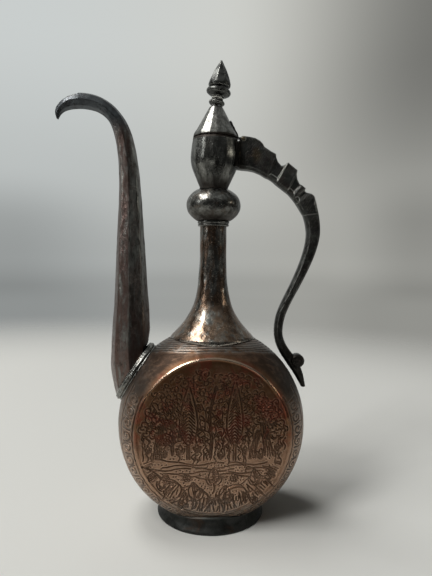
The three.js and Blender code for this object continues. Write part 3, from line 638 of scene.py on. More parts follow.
class Drawing:
    """Strokes gathered for one medallion, with a sure hand that still wavers a little."""

    def __init__(self, seed):
        self.hand = random.Random(seed)
        self.places = []
        self.widths = []

    def stroke(self, points, width=LINE, waver=0.35):
        """A line through points, wavering as a hand-pushed graver does."""
        phase = self.hand.uniform(0, 100)
        for a, b in zip(points, points[1:]):
            parts = max(1, math.ceil(math.dist(a, b) / 0.3))
            for i in range(parts):
                t = i / parts
                u, v = a[0] + t * (b[0] - a[0]), a[1] + t * (b[1] - a[1])
                sway = noise.noise_vector(Vector((u / 4, v / 4, phase)))
                self.places.append((u + waver * sway.x, v + waver * sway.y))
                self.widths.append(width)

    def curve(self, points, width=LINE, waver=0.3):
        self.stroke(smooth_line(points, 6 * len(points)), width, waver)

    def arc(self, u, v, radius, start, end):
        steps = max(6, int(abs(end - start) / 8))
        angles = [math.radians(start + (end - start) * i / steps) for i in range(steps + 1)]
        self.stroke([away(u, v, radius, a) for a in angles], FINE)

    def dot(self, u, v, width=0.9):
        self.stroke([(u, v), (u + 0.35, v + 0.1)], width, 0)

    def leaf(self, u, v, length, angle, width=0.34, vein=True):
        """A pointed leaf from its stalk at (u, v)."""
        a = math.radians(angle)
        along, side = (math.cos(a), math.sin(a)), (-math.sin(a), math.cos(a))
        for way in (-1, 1):
            bend = [(0, 0), (0.3, way * width), (0.7, way * width * 0.8), (1, 0)]
            self.curve([(u + length * (s * along[0] + w * side[0]), v + length * (s * along[1] + w * side[1]))
                        for s, w in bend], FINE)
        if vein:
            self.stroke([(u, v), (u + 0.7 * length * along[0], v + 0.7 * length * along[1])], FINE)

    def rosette(self, u, v, radius, petals):
        """A round flower: petals about a middle."""
        self.arc(u, v, radius * 0.28, 0, 360)
        turn = self.hand.uniform(0, 90)
        for k in range(petals):
            a = math.radians(turn + 360 * k / petals)
            self.arc(*away(u, v, 0.66 * radius, a), radius * 0.36, math.degrees(a) - 140, math.degrees(a) + 140)

    def scroll(self, u, v, radius, turns, angle, way=1):
        """A spiral that closes on (u, v)."""
        steps = int(14 * turns)
        line = []
        for i in range(steps + 1):
            share = i / steps
            a = math.radians(angle) + way * share * turns * 2 * math.pi
            line.append(away(u, v, radius * (1 - share), a))
        self.stroke(line, FINE)

    def spray(self, u, v, length, leaves, spread, angle=90):
        """Leaves that fan out of one root."""
        for k in range(leaves):
            share = (k + 0.5) / leaves - 0.5
            a = angle + spread * share
            self.leaf(u + 1.5 * share, v, length * (1 - 0.5 * abs(share)), a, 0.2, False)

    def cypress(self, u, v, height, width):
        """A flame-shaped cypress, feathered inside, on a short trunk."""
        outline = [(0, 0), (0.42, 0.18), (0.5, 0.38), (0.36, 0.68), (0.06, 1.0)]
        for way in (-1, 1):
            self.curve([(u + way * width * s, v + height * (0.12 + 0.88 * t)) for s, t in outline])
            self.stroke([(u + way * 0.9, v - 4), (u + way * 0.7, v + height * 0.14)])
        rows = int(height / 3.1)
        for k in range(1, rows):
            share = k / rows
            half = width * 0.46 * math.sin(math.pi * min(1, 0.12 + 0.88 * share) ** 0.8) ** 0.9
            level = v + height * (0.14 + 0.80 * share)
            for way in (-1, 1):
                for reach in (0.25, 0.62):
                    start = u + way * half * (reach - 0.2)
                    self.stroke([(start, level + 0.4), (u + way * half * (reach + 0.2), level - 1.7)], FINE)

    def trunk(self, u, v, height, width, lean):
        """Bark between two edges that sway."""
        for k in range(5):
            side = (k / 4 - 0.5) * width
            line = [(u + side * 1.3, v), (u + side + lean * 0.1, v + height * 0.3),
                    (u + side * 0.9 + lean * 0.6, v + height * 0.7), (u + side * 0.7 + lean, v + height)]
            self.curve(line, LINE if k in (0, 4) else FINE, 0.7)

    def crown(self, u, v, radius):
        """A leafy head: a scalloped edge packed with curls."""
        lobes = int(radius * 1.1)
        for k in range(lobes):
            a = 2 * math.pi * k / lobes
            self.arc(u + radius * math.cos(a), v + radius * math.sin(a) * 0.85, radius * 0.34,
                     math.degrees(a) - 100, math.degrees(a) + 100)
        curls = radius * radius * 0.34
        for k in range(int(curls)):
            a, r = k * 2.4, radius * 0.92 * math.sqrt((k + 0.5) / curls)
            self.curl(u + r * math.cos(a), v + r * math.sin(a) * 0.85)

    def bough(self, u, v, height, lean, blooms):
        """A young tree: a thin trunk that sways, twigs with leaves, and flowers at their ends."""
        line = smooth_line([(u, v), (u + lean * 0.2, v + height * 0.3), (u - lean * 0.25, v + height * 0.6),
                            (u + lean, v + height)], 24)
        for way in (-0.7, 0.7):
            self.stroke([(p[0] + way, p[1]) for p in line])
        for k in range(4, 24, 2):
            p = line[k]
            way = 1 if k % 4 else -1
            tip = (p[0] + way * (4 + 0.14 * k), p[1] + 4.5)
            self.curve([p, (p[0] + way * 2.0, p[1] + 3.0), tip], FINE)
            self.leaf(p[0] + way * 1.8, p[1] + 2.7, 3.9, 90 + way * 10, 0.3, False)
            if blooms and k % 3 == 1:
                self.rosette(tip[0] + way * 1.4, tip[1] + 1.2, 3.0, 5)
            else:
                self.leaf(*tip, 4.2, 90 - way * 35, 0.32, False)

    def frond(self, u, v, length, angle, bend):
        """A long bent leaf."""
        a = math.radians(angle)
        for side in (-1, 1):
            line = []
            for k in range(6):
                t = 0.16 + 0.84 * k / 5
                turn = a + math.radians(bend) * t
                swell = side * 0.15 * length * math.sin(math.pi * min(1, 0.05 + 0.95 * t))
                line.append((u + length * t * math.cos(turn) - swell * math.sin(turn),
                             v + length * t * math.sin(turn) + swell * math.cos(turn)))
            self.curve(line, FINE)

    def curl(self, u, v):
        """A small hooked stroke, as foliage is filled in."""
        turn = 200 * noise.noise(Vector((u / 14, v / 14, 5))) + self.hand.uniform(-50, 50)
        sweep = self.hand.choice((-1, 1)) * self.hand.uniform(140, 250)
        self.arc(u, v, self.hand.uniform(1.1, 1.9), turn, turn + sweep)

    def leaflet(self, u, v):
        """A small leaf that points the way its neighbours do."""
        turn = 90 + 260 * noise.noise(Vector((u / 17, v / 17, 9)))
        self.leaf(u, v, self.hand.uniform(3.6, 5.2), turn, 0.3, False)

    def bark(self, u, v):
        """A short upright line that sways."""
        sway, tall = self.hand.uniform(-1.4, 1.4), self.hand.uniform(3, 5)
        self.curve([(u, v - tall), (u + sway, v - tall / 3), (u - sway, v + tall / 3), (u + sway, v + tall)], FINE)

    def blade(self, u, v):
        """A blade of grass that stands on the rim of the medallion."""
        share = self.hand.uniform(0.86, 0.95)
        self.stroke([(u, v), (u * share + self.hand.uniform(-2, 2), v * share)], FINE)

    def fill(self, inside, step, clear, mark):
        """Marks in loose rows wherever inside(u, v) holds and no line is nearer than clear."""
        tree = self.tree()
        rows = int(2 * MEDALLION / step)
        for i in range(rows):
            for j in range(rows):
                u = (i - rows / 2 + 0.5 * (j % 2)) * step + self.hand.uniform(-0.2, 0.2) * step
                v = (j - rows / 2) * step * 0.86 + self.hand.uniform(-0.2, 0.2) * step
                if inside(u, v) and tree.find((u, v, 0))[2] > clear:
                    mark(u, v)

    def border(self):
        """Scrolls between two lines round the lower flank, and grass inside the lip."""
        for radius in (62.9, 73.0):
            self.arc(0, 0, radius, 150, 390)
        for k, angle in enumerate(range(156, 386, 8)):
            middle = away(0, 0, 67.9, math.radians(angle))
            self.scroll(*middle, 4.1, 1.5, angle + 90 * (k % 2), 1 if k % 2 else -1)
            self.stroke([away(0, 0, radius, math.radians(angle + 4)) for radius in (64.6, 71.4)], FINE)
        for radius, start, end in ((57.6, 200, 341), (52.5, 232, 308)):
            for angle in np.arange(start, end, 2.3):
                a = math.radians(angle + self.hand.uniform(-0.8, 0.8))
                self.blade((radius - self.hand.uniform(0, 1.5)) * math.cos(a), radius * math.sin(a))

    def foliage(self, low):
        """Leaves and curls packed into the sky above that level."""
        def above(u, v):
            return in_disc(u, v, 4.5) and v > low + 3 * math.sin(u / 8)
        self.fill(above, 7.0, 2.4, self.leaflet)
        self.fill(above, 3.9, 1.3, self.curl)

    def tree(self):
        tree = KDTree(len(self.places))
        for i, (u, v) in enumerate(self.places):
            tree.insert((u, v, 0), i)
        tree.balance()
        return tree

    def cut_at(self, places):
        """How deep each place is cut, from 0 to 1, less the low ridge beside each line."""
        tree = self.tree()
        cuts = []
        for u, v in places:
            _, index, gap = tree.find((u, v, 0))
            share = 2 * gap / self.widths[index]
            cuts.append(min(1.0, max(0.0, 1.4 - share)) - 0.4 * max(0.0, 1 - abs(share - 2.0) / 0.7))
        return cuts


def in_disc(u, v, margin=5.0):
    return math.hypot(u, v) < MEDALLION - margin


def garden_front():
    """A garden: cypresses and leafy trees behind a brook, and banks with rocks, long leaves and grass."""
    art = Drawing(11)
    banks = [
        [(-55, -22), (-47, -25), (-40, -31), (-30, -33), (-24, -39), (-27, -46), (-36, -49)],
        [(-24, -39), (-15, -37), (-7, -41), (-2, -49), (-8, -55)],
        [(-2, -49), (6, -45), (13, -38), (22, -37), (27, -43), (24, -50)],
        [(22, -37), (31, -30), (41, -31), (47, -37)],
        [(27, -43), (36, -41), (41, -45)],
    ]
    for bank in banks:
        art.curve(bank)
        art.curve([(u + 1.8, v - 1.9) for u, v in bank[1:]], FINE)
    for wave in range(16):
        start = -52 + 13 * (wave * 5 % 8)
        level = -18.5 - 0.85 * wave - 0.02 * start
        art.curve([(start + step, level + 1.2 * math.sin(step / 5 + wave)) for step in range(0, 26 + wave % 3 * 7, 5)
                   if abs(start + step) < 50], FINE)
    for u, v, height, width, lean in ((-43, -16, 25, 5, 3), (43, -14, 26, 6, -4), (31, -16, 22, 4, 5)):
        art.trunk(u, v, height, width, lean)
    for u, v, radius in ((-41, 17, 9), (-31, 27, 7), (-50, 6, 6), (40, 18, 8), (49, 7, 7), (34, 29, 6.5)):
        art.crown(u, v, radius)
    art.cypress(-19, -12, 51, 14)
    art.cypress(17, -13, 56, 13)
    art.bough(-2, -15, 54, 4, True)
    art.bough(-31, -13, 27, -3, True)
    for u, v, size in ((-50, -12, 6), (-37, -15, 6), (-25, -13, 8), (-12, -11, 7), (6, -16, 7), (25, -12, 6),
                       (37, -16, 8), (51, -10, 6)):
        art.spray(u, v, size, 3, 110, 90 + 9 * math.sin(u))
    for u, v, angle, long in ((-38, -41, 80, 9), (-13, -48, 100, 10), (9, -51, 85, 10), (34, -36, 96, 8),
                              (1, -36, 90, 9)):
        for k in range(5):
            art.frond(u, v, long + 4 * (k % 2), angle - 84 + 42 * k, 40 if k < 2 else -40)
        art.curve([(u, v), (u + 0.8, v - 3), (u - 0.6, v - 7)])
    for u, v, way in ((-22, 42, 1), (-6, 49, -1), (9, 46, 1), (26, 40, -1), (-40, 32, -1), (44, 26, 1)):
        art.scroll(u, v, 3.8, 1.5, 200, way)
        art.scroll(u + way * 5.0, v + 1.6, 2.8, 1.3, 160, -way)
    for u, v in ((-47, -31), (-20, -31), (17, -31), (46, -28), (33, -49), (-24, -52)):
        art.rosette(u, v, 3.0, 6)
    art.border()
    art.foliage(14)
    art.fill(lambda u, v: in_disc(u, v, 4) and -16 < v < 30, 3.4, 1.5, art.bark)
    art.fill(lambda u, v: in_disc(u, v, 4) and -17 < v < 30, 2.9, 1.3, art.dot)
    art.fill(lambda u, v: in_disc(u, v, 6) and v < -20, 2.7, 1.2, art.dot)
    return art


def garden_back():
    """A flowering bush in a footed vase between two cypresses, over a dotted lawn."""
    art = Drawing(23)
    for way in (-1, 1):
        art.curve([(way * 3, -42), (way * 9, -33), (way * 10, -25), (way * 4, -20), (way * 6, -17)])
        art.curve([(0, -17), (way * 8, -2), (way * 20, 4), (way * 24, 14)])
        art.curve([(0, -17), (way * 5, 8), (way * 12, 22), (way * 8, 34)])
        art.cypress(way * 39, -24, 48, 13)
        for u, v, radius in ((24, 17, 5), (8, 38, 5), (15, 6, 3.6), (11, 25, 3.6)):
            art.rosette(way * u, v, radius, 6)
        for u, v, angle in ((5, -8, 20), (12, 0, 75), (6, 6, 40), (9, 16, 10), (12, 24, 80), (20, 6, 10)):
            art.leaf(way * u, v, 6, angle if way > 0 else 180 - angle)
        art.scroll(way * 20, 42, 4.2, 1.6, 200, way)
        art.spray(way * 26, -30, 11, 7, 140)
        art.spray(way * 14, -42, 10, 5, 120)
    art.bough(0, -16, 58, 2, True)
    art.stroke([(-8, -43), (8, -43)])
    for wave in range(3):
        across = range(-38 + 3 * wave, 40 - 3 * wave, 4)
        art.curve([(u, -44.5 - 2.2 * wave + 1.2 * math.sin(u / 5 + wave)) for u in across], FINE)
    art.border()
    art.foliage(36)
    art.fill(lambda u, v: in_disc(u, v, 4.5) and -14 < v < 38, 4.6, 1.7, art.curl)
    art.fill(lambda u, v: in_disc(u, v, 9) and v < -12, 4.2, 1.7, art.dot)
    return art


# Body

def dish_profile(step, rim_steps):
    """[radius, depth] from the middle of the medallion, over its raised lip, to the seam."""
    middle = list(np.arange(step, MEDALLION - 3, step))
    lip = list(np.arange(MEDALLION - 3, MEDALLION + 1.6, 0.35))
    radii = np.array([TIP, *middle, *lip])
    share = np.minimum(radii / MEDALLION, 1)
    rim = RIM_DEPTH * np.sqrt(1 - (np.maximum(radii - RIM_START, 0) / RIM_BULGE) ** 2)
    depth = np.where(radii < MEDALLION, BODY_DEPTH + MEDALLION_DOME * (1 - share ** 2), rim)
    depth += LIP_RISE * np.exp(-((radii - MEDALLION - 0.1) / 0.75) ** 2)
    depth -= 0.28 * np.exp(-((radii - MEDALLION + 1.5) / 0.8) ** 2)
    first = math.acos((radii[-1] + 0.5 - RIM_START) / RIM_BULGE)
    turns = np.linspace(first, 0.004, rim_steps)
    seam = 0.3 * np.exp(-(RIM_DEPTH * np.sin(turns) / 0.5) ** 2)
    rim_radii = RIM_START + (RIM_BULGE - seam) * np.cos(turns)
    return np.array([*zip(radii, depth), *zip(rim_radii, RIM_DEPTH * np.sin(turns))])


def dish(side, columns, step, rim_steps, art, sizes):
    """One dish of the body: its shape and how deep each point is engraved."""
    profile = dish_profile(step, rim_steps)
    angles = np.linspace(0, 2 * math.pi, columns, endpoint=False)
    x = profile[:, 0, None] * np.cos(angles)
    v = profile[:, 0, None] * np.sin(angles)
    depth = np.repeat(profile[:, 1, None], columns, axis=1)
    inside = profile[:, 0] < ENGRAVED
    cuts = np.zeros(x.shape)
    spots = np.stack([x[inside].ravel() * -side, v[inside].ravel()], axis=1)
    cuts[inside] = np.array(art.cut_at(spots.tolist())).reshape(-1, columns)
    points = np.stack([x, side * depth, BODY_CENTRE + BODY_STRETCH * v], axis=2)
    points = handmade(points, sizes.hammering / MM, 26, 3)
    points[..., 1] -= side * cuts * sizes.engraving / MM
    points[..., 1] = side * np.maximum(side * points[..., 1], 0.1)
    points[..., 2] = np.maximum(points[..., 2], BODY_BOTTOM)
    if side < 0:
        points, cuts = points[:, ::-1], cuts[:, ::-1]
    flat, faces = grid(points)
    return (flat, kept_faces(flat, faces)), cuts.ravel()


def kept_faces(points, faces):
    """The dish's faces without those in the neck's hole and under the foot."""
    middles = points[np.array(faces)].mean(axis=1)
    under_neck = (np.hypot(middles[:, 0], middles[:, 1]) < NECK_HOLE) & (middles[:, 2] > BODY_CENTRE)
    below = middles[:, 2] < BODY_BOTTOM + 0.01
    return [face for face, gone in zip(faces, under_neck | below) if not gone]


# Foot, neck and knop

FOOT_LINE = [
    (42.8, 0), (44.6, 0), (45.1, 0.5), (45.2, 1.3), (44.7, 2.3), (44.1, 3.0), (43.9, 3.4), (43.4, 4.2), (42.7, 5.2),
    (42.2, 6.6), (41.9, 8.2), (41.8, 10.4), (41.7, 13.4), (39.8, 13.4), (39.9, 6.3), (39.9, 4.5), (38.6, 4.4),
    (38.6, 3.0), (42.6, 0.2), (42.8, 0),
]
NECK_LINE = [(34, 152), (24, 163), (16, 178), (12.1, 200), (11.2, 225), (11.3, 247.7)]
NECK_SKIRT = [(35, 146.6), (35.0, 150.6)]
COLLAR_LINE = [
    (11.6, 243.3), (12.4, 243.3), (12.9, 243.8), (13.1, 244.6), (12.7, 245.2), (12.8, 245.7), (13.3, 246.2),
    (13.3, 247.1), (12.9, 247.7), (11.6, 247.7), (11.6, 243.3),
]
KNOP = {"radius": 22.7, "half": 16.1, "centre": 260.7, "bottom": 248.0, "top": 273.4, "bore": 9.4}


def knop_line(wall, steps):
    low, high = KNOP["bottom"] + wall, KNOP["top"] - wall
    heights = (low + high) / 2 - (high - low) / 2 * np.cos(np.linspace(0, math.pi, steps + 1))
    share = (heights - KNOP["centre"]) / (KNOP["half"] - wall)
    return np.stack([(KNOP["radius"] - wall) * np.sqrt(1 - share ** 2), heights], axis=1)


def knop_profile():
    """The hollow bulge, open above and below."""
    bore, low, high = KNOP["bore"], KNOP["bottom"], KNOP["top"]
    return np.vstack([[(bore, low)], knop_line(0, 44), [(bore, high), (bore, high - SHEET)],
                      knop_line(SHEET, 20)[::-1], [(bore, low + SHEET), (bore, low)]])


# Mouth, lid and finial

ROD_BORE = 1.9
LID_SEAM = CUP_TOP + 0.35
CUP_LINE = [(11.6, 275.3), (14.9, 283), (18.9, 292.7), (19.8, 300.5), (18.3, 315.2)]
LID_LINE = [
    (18.1, 315.9), (18.25, 316.3), (18.15, 317.2), (17.9, 318.3), (17.3, 319.6), (16.3, 321.2), (15.6, 322.1),
    (12.4, 328.2), (9.0, 334.7), (5.7, 340.8), (5.2, 341.5), (4.6, 341.9),
]
RING_LINE = [
    (ROD_BORE, 0), (4.6, 0), (5.2, 0.3), (6.3, 1.3), (6.7, 2.3), (6.3, 3.3), (5.3, 4.1), (4.8, 4.9), (ROD_BORE, 5),
    (ROD_BORE, 0),
]
BEAD_LINE = [
    (ROD_BORE, 0), (4.4, 0), (4.8, 0.2), (4.9, 1.2), (5.6, 2.1), (7.9, 3.1), (9.6, 4.3), (10.2, 5.5), (10.1, 6.6),
    (9.4, 7.8), (8.0, 8.5), (ROD_BORE, 8.6), (ROD_BORE, 0),
]
BUD_BASE = [(7.9, 0), (8.5, 0.2), (9.0, 0.8), (9.2, 1.8), (9.15, 3.0), (8.8, 4.4), (8.4, 5.8), (8.0, 7.1), (7.6, 8.4)]
BUD_FLATS = [(9.3, 1.5), (8.9, 3.2), (8.55, 4.4), (8.0, 5.7), (7.4, 7.1), (6.4, 9.8), (5.35, 12.4), (4.05, 15.2),
             (2.7, 17.7), (1.5, 20.2), (0.7, 21.7), (0.1, 22.3)]
BUD_FACETS = 8
BUD_TURN = -17.0


def bud_points():
    """A turned bulb with flat faces filed on it up to its point: each face ends below in an arc."""
    heights = np.concatenate([np.linspace(0, 10, 60), np.linspace(10.2, 22.3, 50)])
    base = np.array(BUD_BASE)
    flats = np.array(smooth_line(BUD_FLATS, 60))
    turned_radius = np.where(heights < base[-1, 1], np.interp(heights, base[:, 1], base[:, 0]), 99)
    flat_radius = np.interp(heights, flats[:, 1], flats[:, 0])
    angles = np.linspace(0, 360, 160, endpoint=False)
    span = 360 / BUD_FACETS
    off = np.radians((angles - BUD_TURN) % span - span / 2)
    faces = flat_radius[:, None] / np.cos(off)
    radius = np.minimum(faces, turned_radius[:, None])
    turns = np.radians(angles - 90)
    level = np.repeat(heights[:, None] + BUD_BOTTOM, len(angles), axis=1)
    return np.stack([radius * np.cos(turns), radius * np.sin(turns), level], axis=2)


def raised(line, height):
    return [(radius, height + level) for radius, level in line]


def rivet_head(radius, grip):
    """A domed rivet about the Z axis, with a head at each end of its grip."""
    half, rise, shank = grip / 2, radius * 0.25, radius * 0.47
    arc = [(radius * math.cos(a), rise * math.sin(a)) for a in np.linspace(0, math.pi / 2, 8)]
    upper = [(max(r, TIP), half + h) for r, h in arc]
    lower = [(max(r, TIP), -half - h) for r, h in reversed(arc)]
    return [*lower, (shank, -half), (shank, half), *upper]


def pointed(points, direction, middle):
    """Points built about Z, turned so that Z is direction, and placed with their middle there."""
    turn = np.array(Vector((0, 0, 1)).rotation_difference(Vector(direction)).to_matrix())
    return points @ turn.T + np.array(middle)


def rivet(node, body, grip, direction, brass):
    """A domed rivet in place of a node, on a line of that direction."""
    head = pointed(turned(rivet_head(RIVET, grip), 32), direction, place_of(node))
    piece(node + "_head", capped(head), body, node, brass)


# Spout

SPOUT_ROWS = [
    (-54, 144.8, -81, 100, 16.8),
    (-52.6, 155.4, -85.3, 121, 16.2),
    (-53, 171.4, -84.6, 151, 15),
    (-54.5, 191.3, -82.6, 181, 13.8),
    (-56.9, 224.3, -81.2, 218, 12),
    (-59, 254.3, -79.6, 251, 10.4),
    (-61, 278.3, -78.8, 277, 9.2),
    (-64.1, 301.2, -79.6, 299, 8.3),
    (-68.9, 320.2, -82.2, 315.5, 7.6),
    (-75.5, 332.3, -86.2, 326.5, 7.1),
    (-83.8, 341.4, -91.5, 332.5, 6.8),
    (-94, 347.6, -98, 335.8, 6.6),
    (-105, 350.3, -105.5, 337.2, 6.5),
    (-113.5, 350.4, -112, 337.2, 6.5),
    (-121.5, 347.9, -118.5, 336.5, 6),
    (-128, 342.2, -123.5, 334.5, 4.6),
    (-131, 335, -126.5, 331.5, 3),
    (-129.6, 329.2, -128, 328.6, 1.2),
]
BEAK_CUT = [(-112, 348.5), (-112, 362), (-140, 362), (-140, 332), (-131.4, 332.4), (-129.4, 338), (-126, 341.7),
            (-122.9, 344.2), (-119.2, 346.3)]
SPOUT_HOLLOW = 0.93
SPOUT_STEPS = 150


def rail_sections(rows, steps, reach=1.0):
    """Sections between smooth rails through the rows, as [outer x, outer z, inner x, inner z, half width]."""
    outer = smooth_line([(row[0], row[1], row[4]) for row in rows], steps)
    inner = smooth_line([(row[2], row[3], row[4]) for row in rows], steps)
    last = int(reach * steps)
    return [(a[0], a[1], b[0], b[1], a[2]) for a, b in zip(outer[:last + 1], inner[:last + 1])]


def facet_ring(sides, columns, soft):
    """A regular outline with soft corners, a corner at the top, as its points' up and out."""
    shares = np.linspace(soft, 1 - soft, columns)
    corners = [(math.cos(2 * math.pi * k / sides), math.sin(2 * math.pi * k / sides)) for k in range(sides + 1)]
    return np.array([(a[0] + t * (b[0] - a[0]), a[1] + t * (b[1] - a[1]))
                     for a, b in zip(corners, corners[1:]) for t in shares]).T


def between_rails(sections, up, out):
    """Points of a skin whose sections stand between the rails, at shares of their half height and half width."""
    s = np.array(sections, dtype=float)
    x = (s[:, 0, None] + s[:, 2, None] + up * (s[:, 0] - s[:, 2])[:, None]) / 2
    z = (s[:, 1, None] + s[:, 3, None] + up * (s[:, 1] - s[:, 3])[:, None]) / 2
    return np.stack([x, out * s[:, 4, None], z], axis=2)


def thinner(section, wall):
    """A section of the spout's hollow, a wall inside the outer one."""
    ox, oz, ix, iz, width = section
    share = min(wall / math.hypot(ox - ix, oz - iz), 0.35)
    dx, dz = (ox - ix) * share, (oz - iz) * share
    return ox - dx, oz - dz, ix + dx, iz + dz, max(width - wall, width * 0.3)


def prism(outline, width):
    """An [x, z] outline as a closed solid across the vessel."""
    count = len(outline)
    points = np.array([(x, y, z) for y in (-width / 2, width / 2) for x, z in outline])
    sides = [(i, count + i, count + (i + 1) % count, (i + 1) % count) for i in range(count)]
    return points, [tuple(range(count)), tuple(range(count, 2 * count))[::-1], *sides]


def carved(base, tools):
    """Shapes joined to or cut from a base. tools are (operation, shape) pairs."""
    made = [temporary(shape) for shape in (base, *[shape for _, shape in tools])]
    for (operation, _), other in zip(tools, made[1:]):
        change = made[0].modifiers.new(operation, "BOOLEAN")
        change.operation = operation
        change.solver = "EXACT"
        change.object = other
    shape = settled(made[0])
    for thing in made:
        bpy.data.meshes.remove(thing.data)
    return shape


def softened(shape, width):
    """A shape with its sharp edges rounded by that width, in millimetres."""
    thing = temporary(shape)
    bevel = thing.modifiers.new("Soft", "BEVEL")
    bevel.width = width
    bevel.segments = 2
    bevel.limit_method = "ANGLE"
    bevel.angle_limit = math.radians(24)
    shape = settled(thing)
    bpy.data.meshes.remove(thing.data)
    return shape


def temporary(shape):
    points, faces = shape
    mesh = bpy.data.meshes.new("shape")
    mesh.from_pydata(points.tolist(), [], faces)
    thing = bpy.data.objects.new("shape", mesh)
    bpy.context.collection.objects.link(thing)
    return thing


def settled(thing):
    """The points and faces of an object with its modifiers."""
    bpy.context.view_layer.update()
    seen = thing.evaluated_get(bpy.context.evaluated_depsgraph_get())
    mesh = seen.to_mesh()
    points = np.empty(3 * len(mesh.vertices))
    mesh.vertices.foreach_get("co", points)
    faces = [tuple(face.vertices) for face in mesh.polygons]
    seen.to_mesh_clear()
    return points.reshape(-1, 3), faces


def spout_shape(sizes):
    """The hollow eight-sided tube, open at its beak."""
    outside = between_rails(rail_sections(SPOUT_ROWS, SPOUT_STEPS), *facet_ring(8, 4, 0.05))
    outside = handmade(outside, sizes.casting / MM * 1.3, 11, 9)
    inner = [thinner(section, SHEET) for section in rail_sections(SPOUT_ROWS, SPOUT_STEPS, SPOUT_HOLLOW)]
    inside = between_rails(inner, *facet_ring(8, 2, 0.1))
    below = inside[:1] + (2, 0, -4)
    inside = np.vstack([below, inside])
    return carved(capped(outside), [("DIFFERENCE", capped(inside)), ("DIFFERENCE", prism(BEAK_CUT, 30))])


# Saddle flange under the spout

FLANGE = {"length": 27.0, "width": 20.5}
FLANGE_LINE = [
    (-8, 0.2), (0, 0.2), (0.1, 0.5), (0, 0.9), (-0.6, 1.1), (-0.75, 1.3), (-0.5, 1.6), (-0.2, 2.1), (-0.15, 2.7),
    (-0.35, 3.3), (-0.8, 3.8), (-1.25, 4.1), (-1.5, 4.3), (-1.45, 4.6), (-1.7, 5.0), (-2.2, 5.15), (-8, 5.15),
    (-8, 0.2),
]


def rim_radius(y):
    """The radius of the body's rim at a depth."""
    return RIM_START + RIM_BULGE * np.sqrt(1 - (y / RIM_DEPTH) ** 2)


def flange_shape():
    """A turned moulding, made oval and bent onto the body's rim."""
    line = [(FLANGE["length"] + r, h) for r, h in FLANGE_LINE]
    u, v, height = np.moveaxis(turned(line, 120), 2, 0)
    radius = np.hypot(u, v)
    y = v * (radius - FLANGE["length"] + FLANGE["width"]) / radius
    angle = math.radians(SPOUT_ANGLE) + u / BODY_RADIUS
    reach = rim_radius(y) + height
    return np.stack([-reach * np.cos(angle), y, BODY_CENTRE + reach * BODY_STRETCH * np.sin(angle)], axis=2)


# Handle

CREST_ROWS = [
    (17, 313.2, 17, 291.6, 7),
    (20.2, 314.2, 20.2, 291.4, 7),
    (22.8, 318, 23.2, 291.1, 7),
    (28, 317.7, 28.5, 290.7, 6.4),
    (32.8, 317, 32.8, 289.9, 5.8),
    (37.1, 314.9, 36.3, 288.6, 5.5),
    (39.4, 312.7, 38.6, 287.7, 5.5),
    (40.8, 310.2, 40.4, 286.7, 5.5),
    (46.6, 306.7, 42.4, 285.5, 5.5),
    (50.7, 304.7, 43.8, 284.9, 5.5),
    (51.4, 301.8, 45.9, 284, 3.8),
    (52.8, 298.7, 47.6, 283, 3.8),
    (55.9, 295.5, 49.4, 281.8, 3.8),
    (59.4, 296.3, 50.4, 281, 3.8),
    (60.9, 298.3, 51.5, 280.1, 5.5),
    (69.2, 292, 60.6, 273.6, 5.5),
    (68.9, 288.2, 61.3, 273, 3.8),
    (69.8, 284.7, 62.5, 272.2, 3.8),
    (71.8, 281, 64, 270.6, 3.8),
    (73.8, 279.7, 65.3, 269.3, 5.2),
    (76.9, 277.3, 66.6, 267.9, 5.2),
    (76.2, 275.7, 67.2, 267.2, 3.8),
    (77.6, 274.2, 68, 266.2, 3.8),
    (82, 273, 69.8, 263.9, 5.5),
    (84.2, 271.3, 71.2, 262, 5.5),
    (85.5, 268, 72.5, 260, 5.3),
    (88.7, 256.4, 75.9, 254.8, 5),
]
STRAP_ROWS = [
    (85.5, 268, 72.5, 260, 5.3),
    (88.7, 256.4, 75.9, 254.8, 5),
    (90.6, 239.5, 79.5, 239.2, 4.8),
    (86, 219.5, 75.9, 218.7, 4.6),
    (75.2, 194.8, 66.6, 194.6, 4.4),
    (64.1, 170.6, 56.4, 170.4, 4.2),
    (62.2, 153.4, 55.2, 153.1, 4.2),
    (66.8, 142.9, 58.2, 142.7, 4.3),
    (74.5, 133.2, 64, 132.9, 4.4),
    (80.5, 121.9, 72.3, 121.6, 3.2),
    (84, 108.6, 80.5, 108.4, 2),
]
CHAMFER = 1.4
INNER_CHAMFER = 2.4
BAND = (5.0, 4.9)
KNOB = {"middle": (75.8, 0, 131.2), "radius": 5.8, "half": 4.6}
PLATE = {"half": 11.5, "bottom": 292.0, "top": 312.5, "thickness": 1.5}
EAR = {"radius": 2.4, "half": 7.0, "bore": 1.4}
LEAF_SLOT = 3.1
CUP_GAP = 0.3


def bar(sections):
    """A bar of rectangular sections with cut corners."""
    s = np.array(sections, dtype=float)
    height = np.hypot(s[:, 0] - s[:, 2], s[:, 1] - s[:, 3]) / 2
    high, low = (1 - np.minimum(cut / height, 0.7) for cut in (CHAMFER, INNER_CHAMFER))
    wide, narrow = (1 - np.minimum(cut / s[:, 4], 0.7) for cut in (CHAMFER, INNER_CHAMFER))
    one = np.ones_like(high)
    up = np.stack([high, one, one, high, -low, -one, -one, -low], axis=1)
    out = np.stack([-one, -wide, wide, one, one, narrow, -narrow, -one], axis=1)
    return capped(between_rails(sections, up, out))


def inner_band(rows):
    """The flat band that runs along the crest's inner edge."""
    thick, wide = BAND
    rows = np.array(rows)
    share = thick / np.hypot(rows[:, 0] - rows[:, 2], rows[:, 1] - rows[:, 3])
    return np.stack([rows[:, 2] + (rows[:, 0] - rows[:, 2]) * share, rows[:, 3] + (rows[:, 1] - rows[:, 3]) * share,
                     rows[:, 2], rows[:, 3], np.full(len(rows), wide)], axis=1)


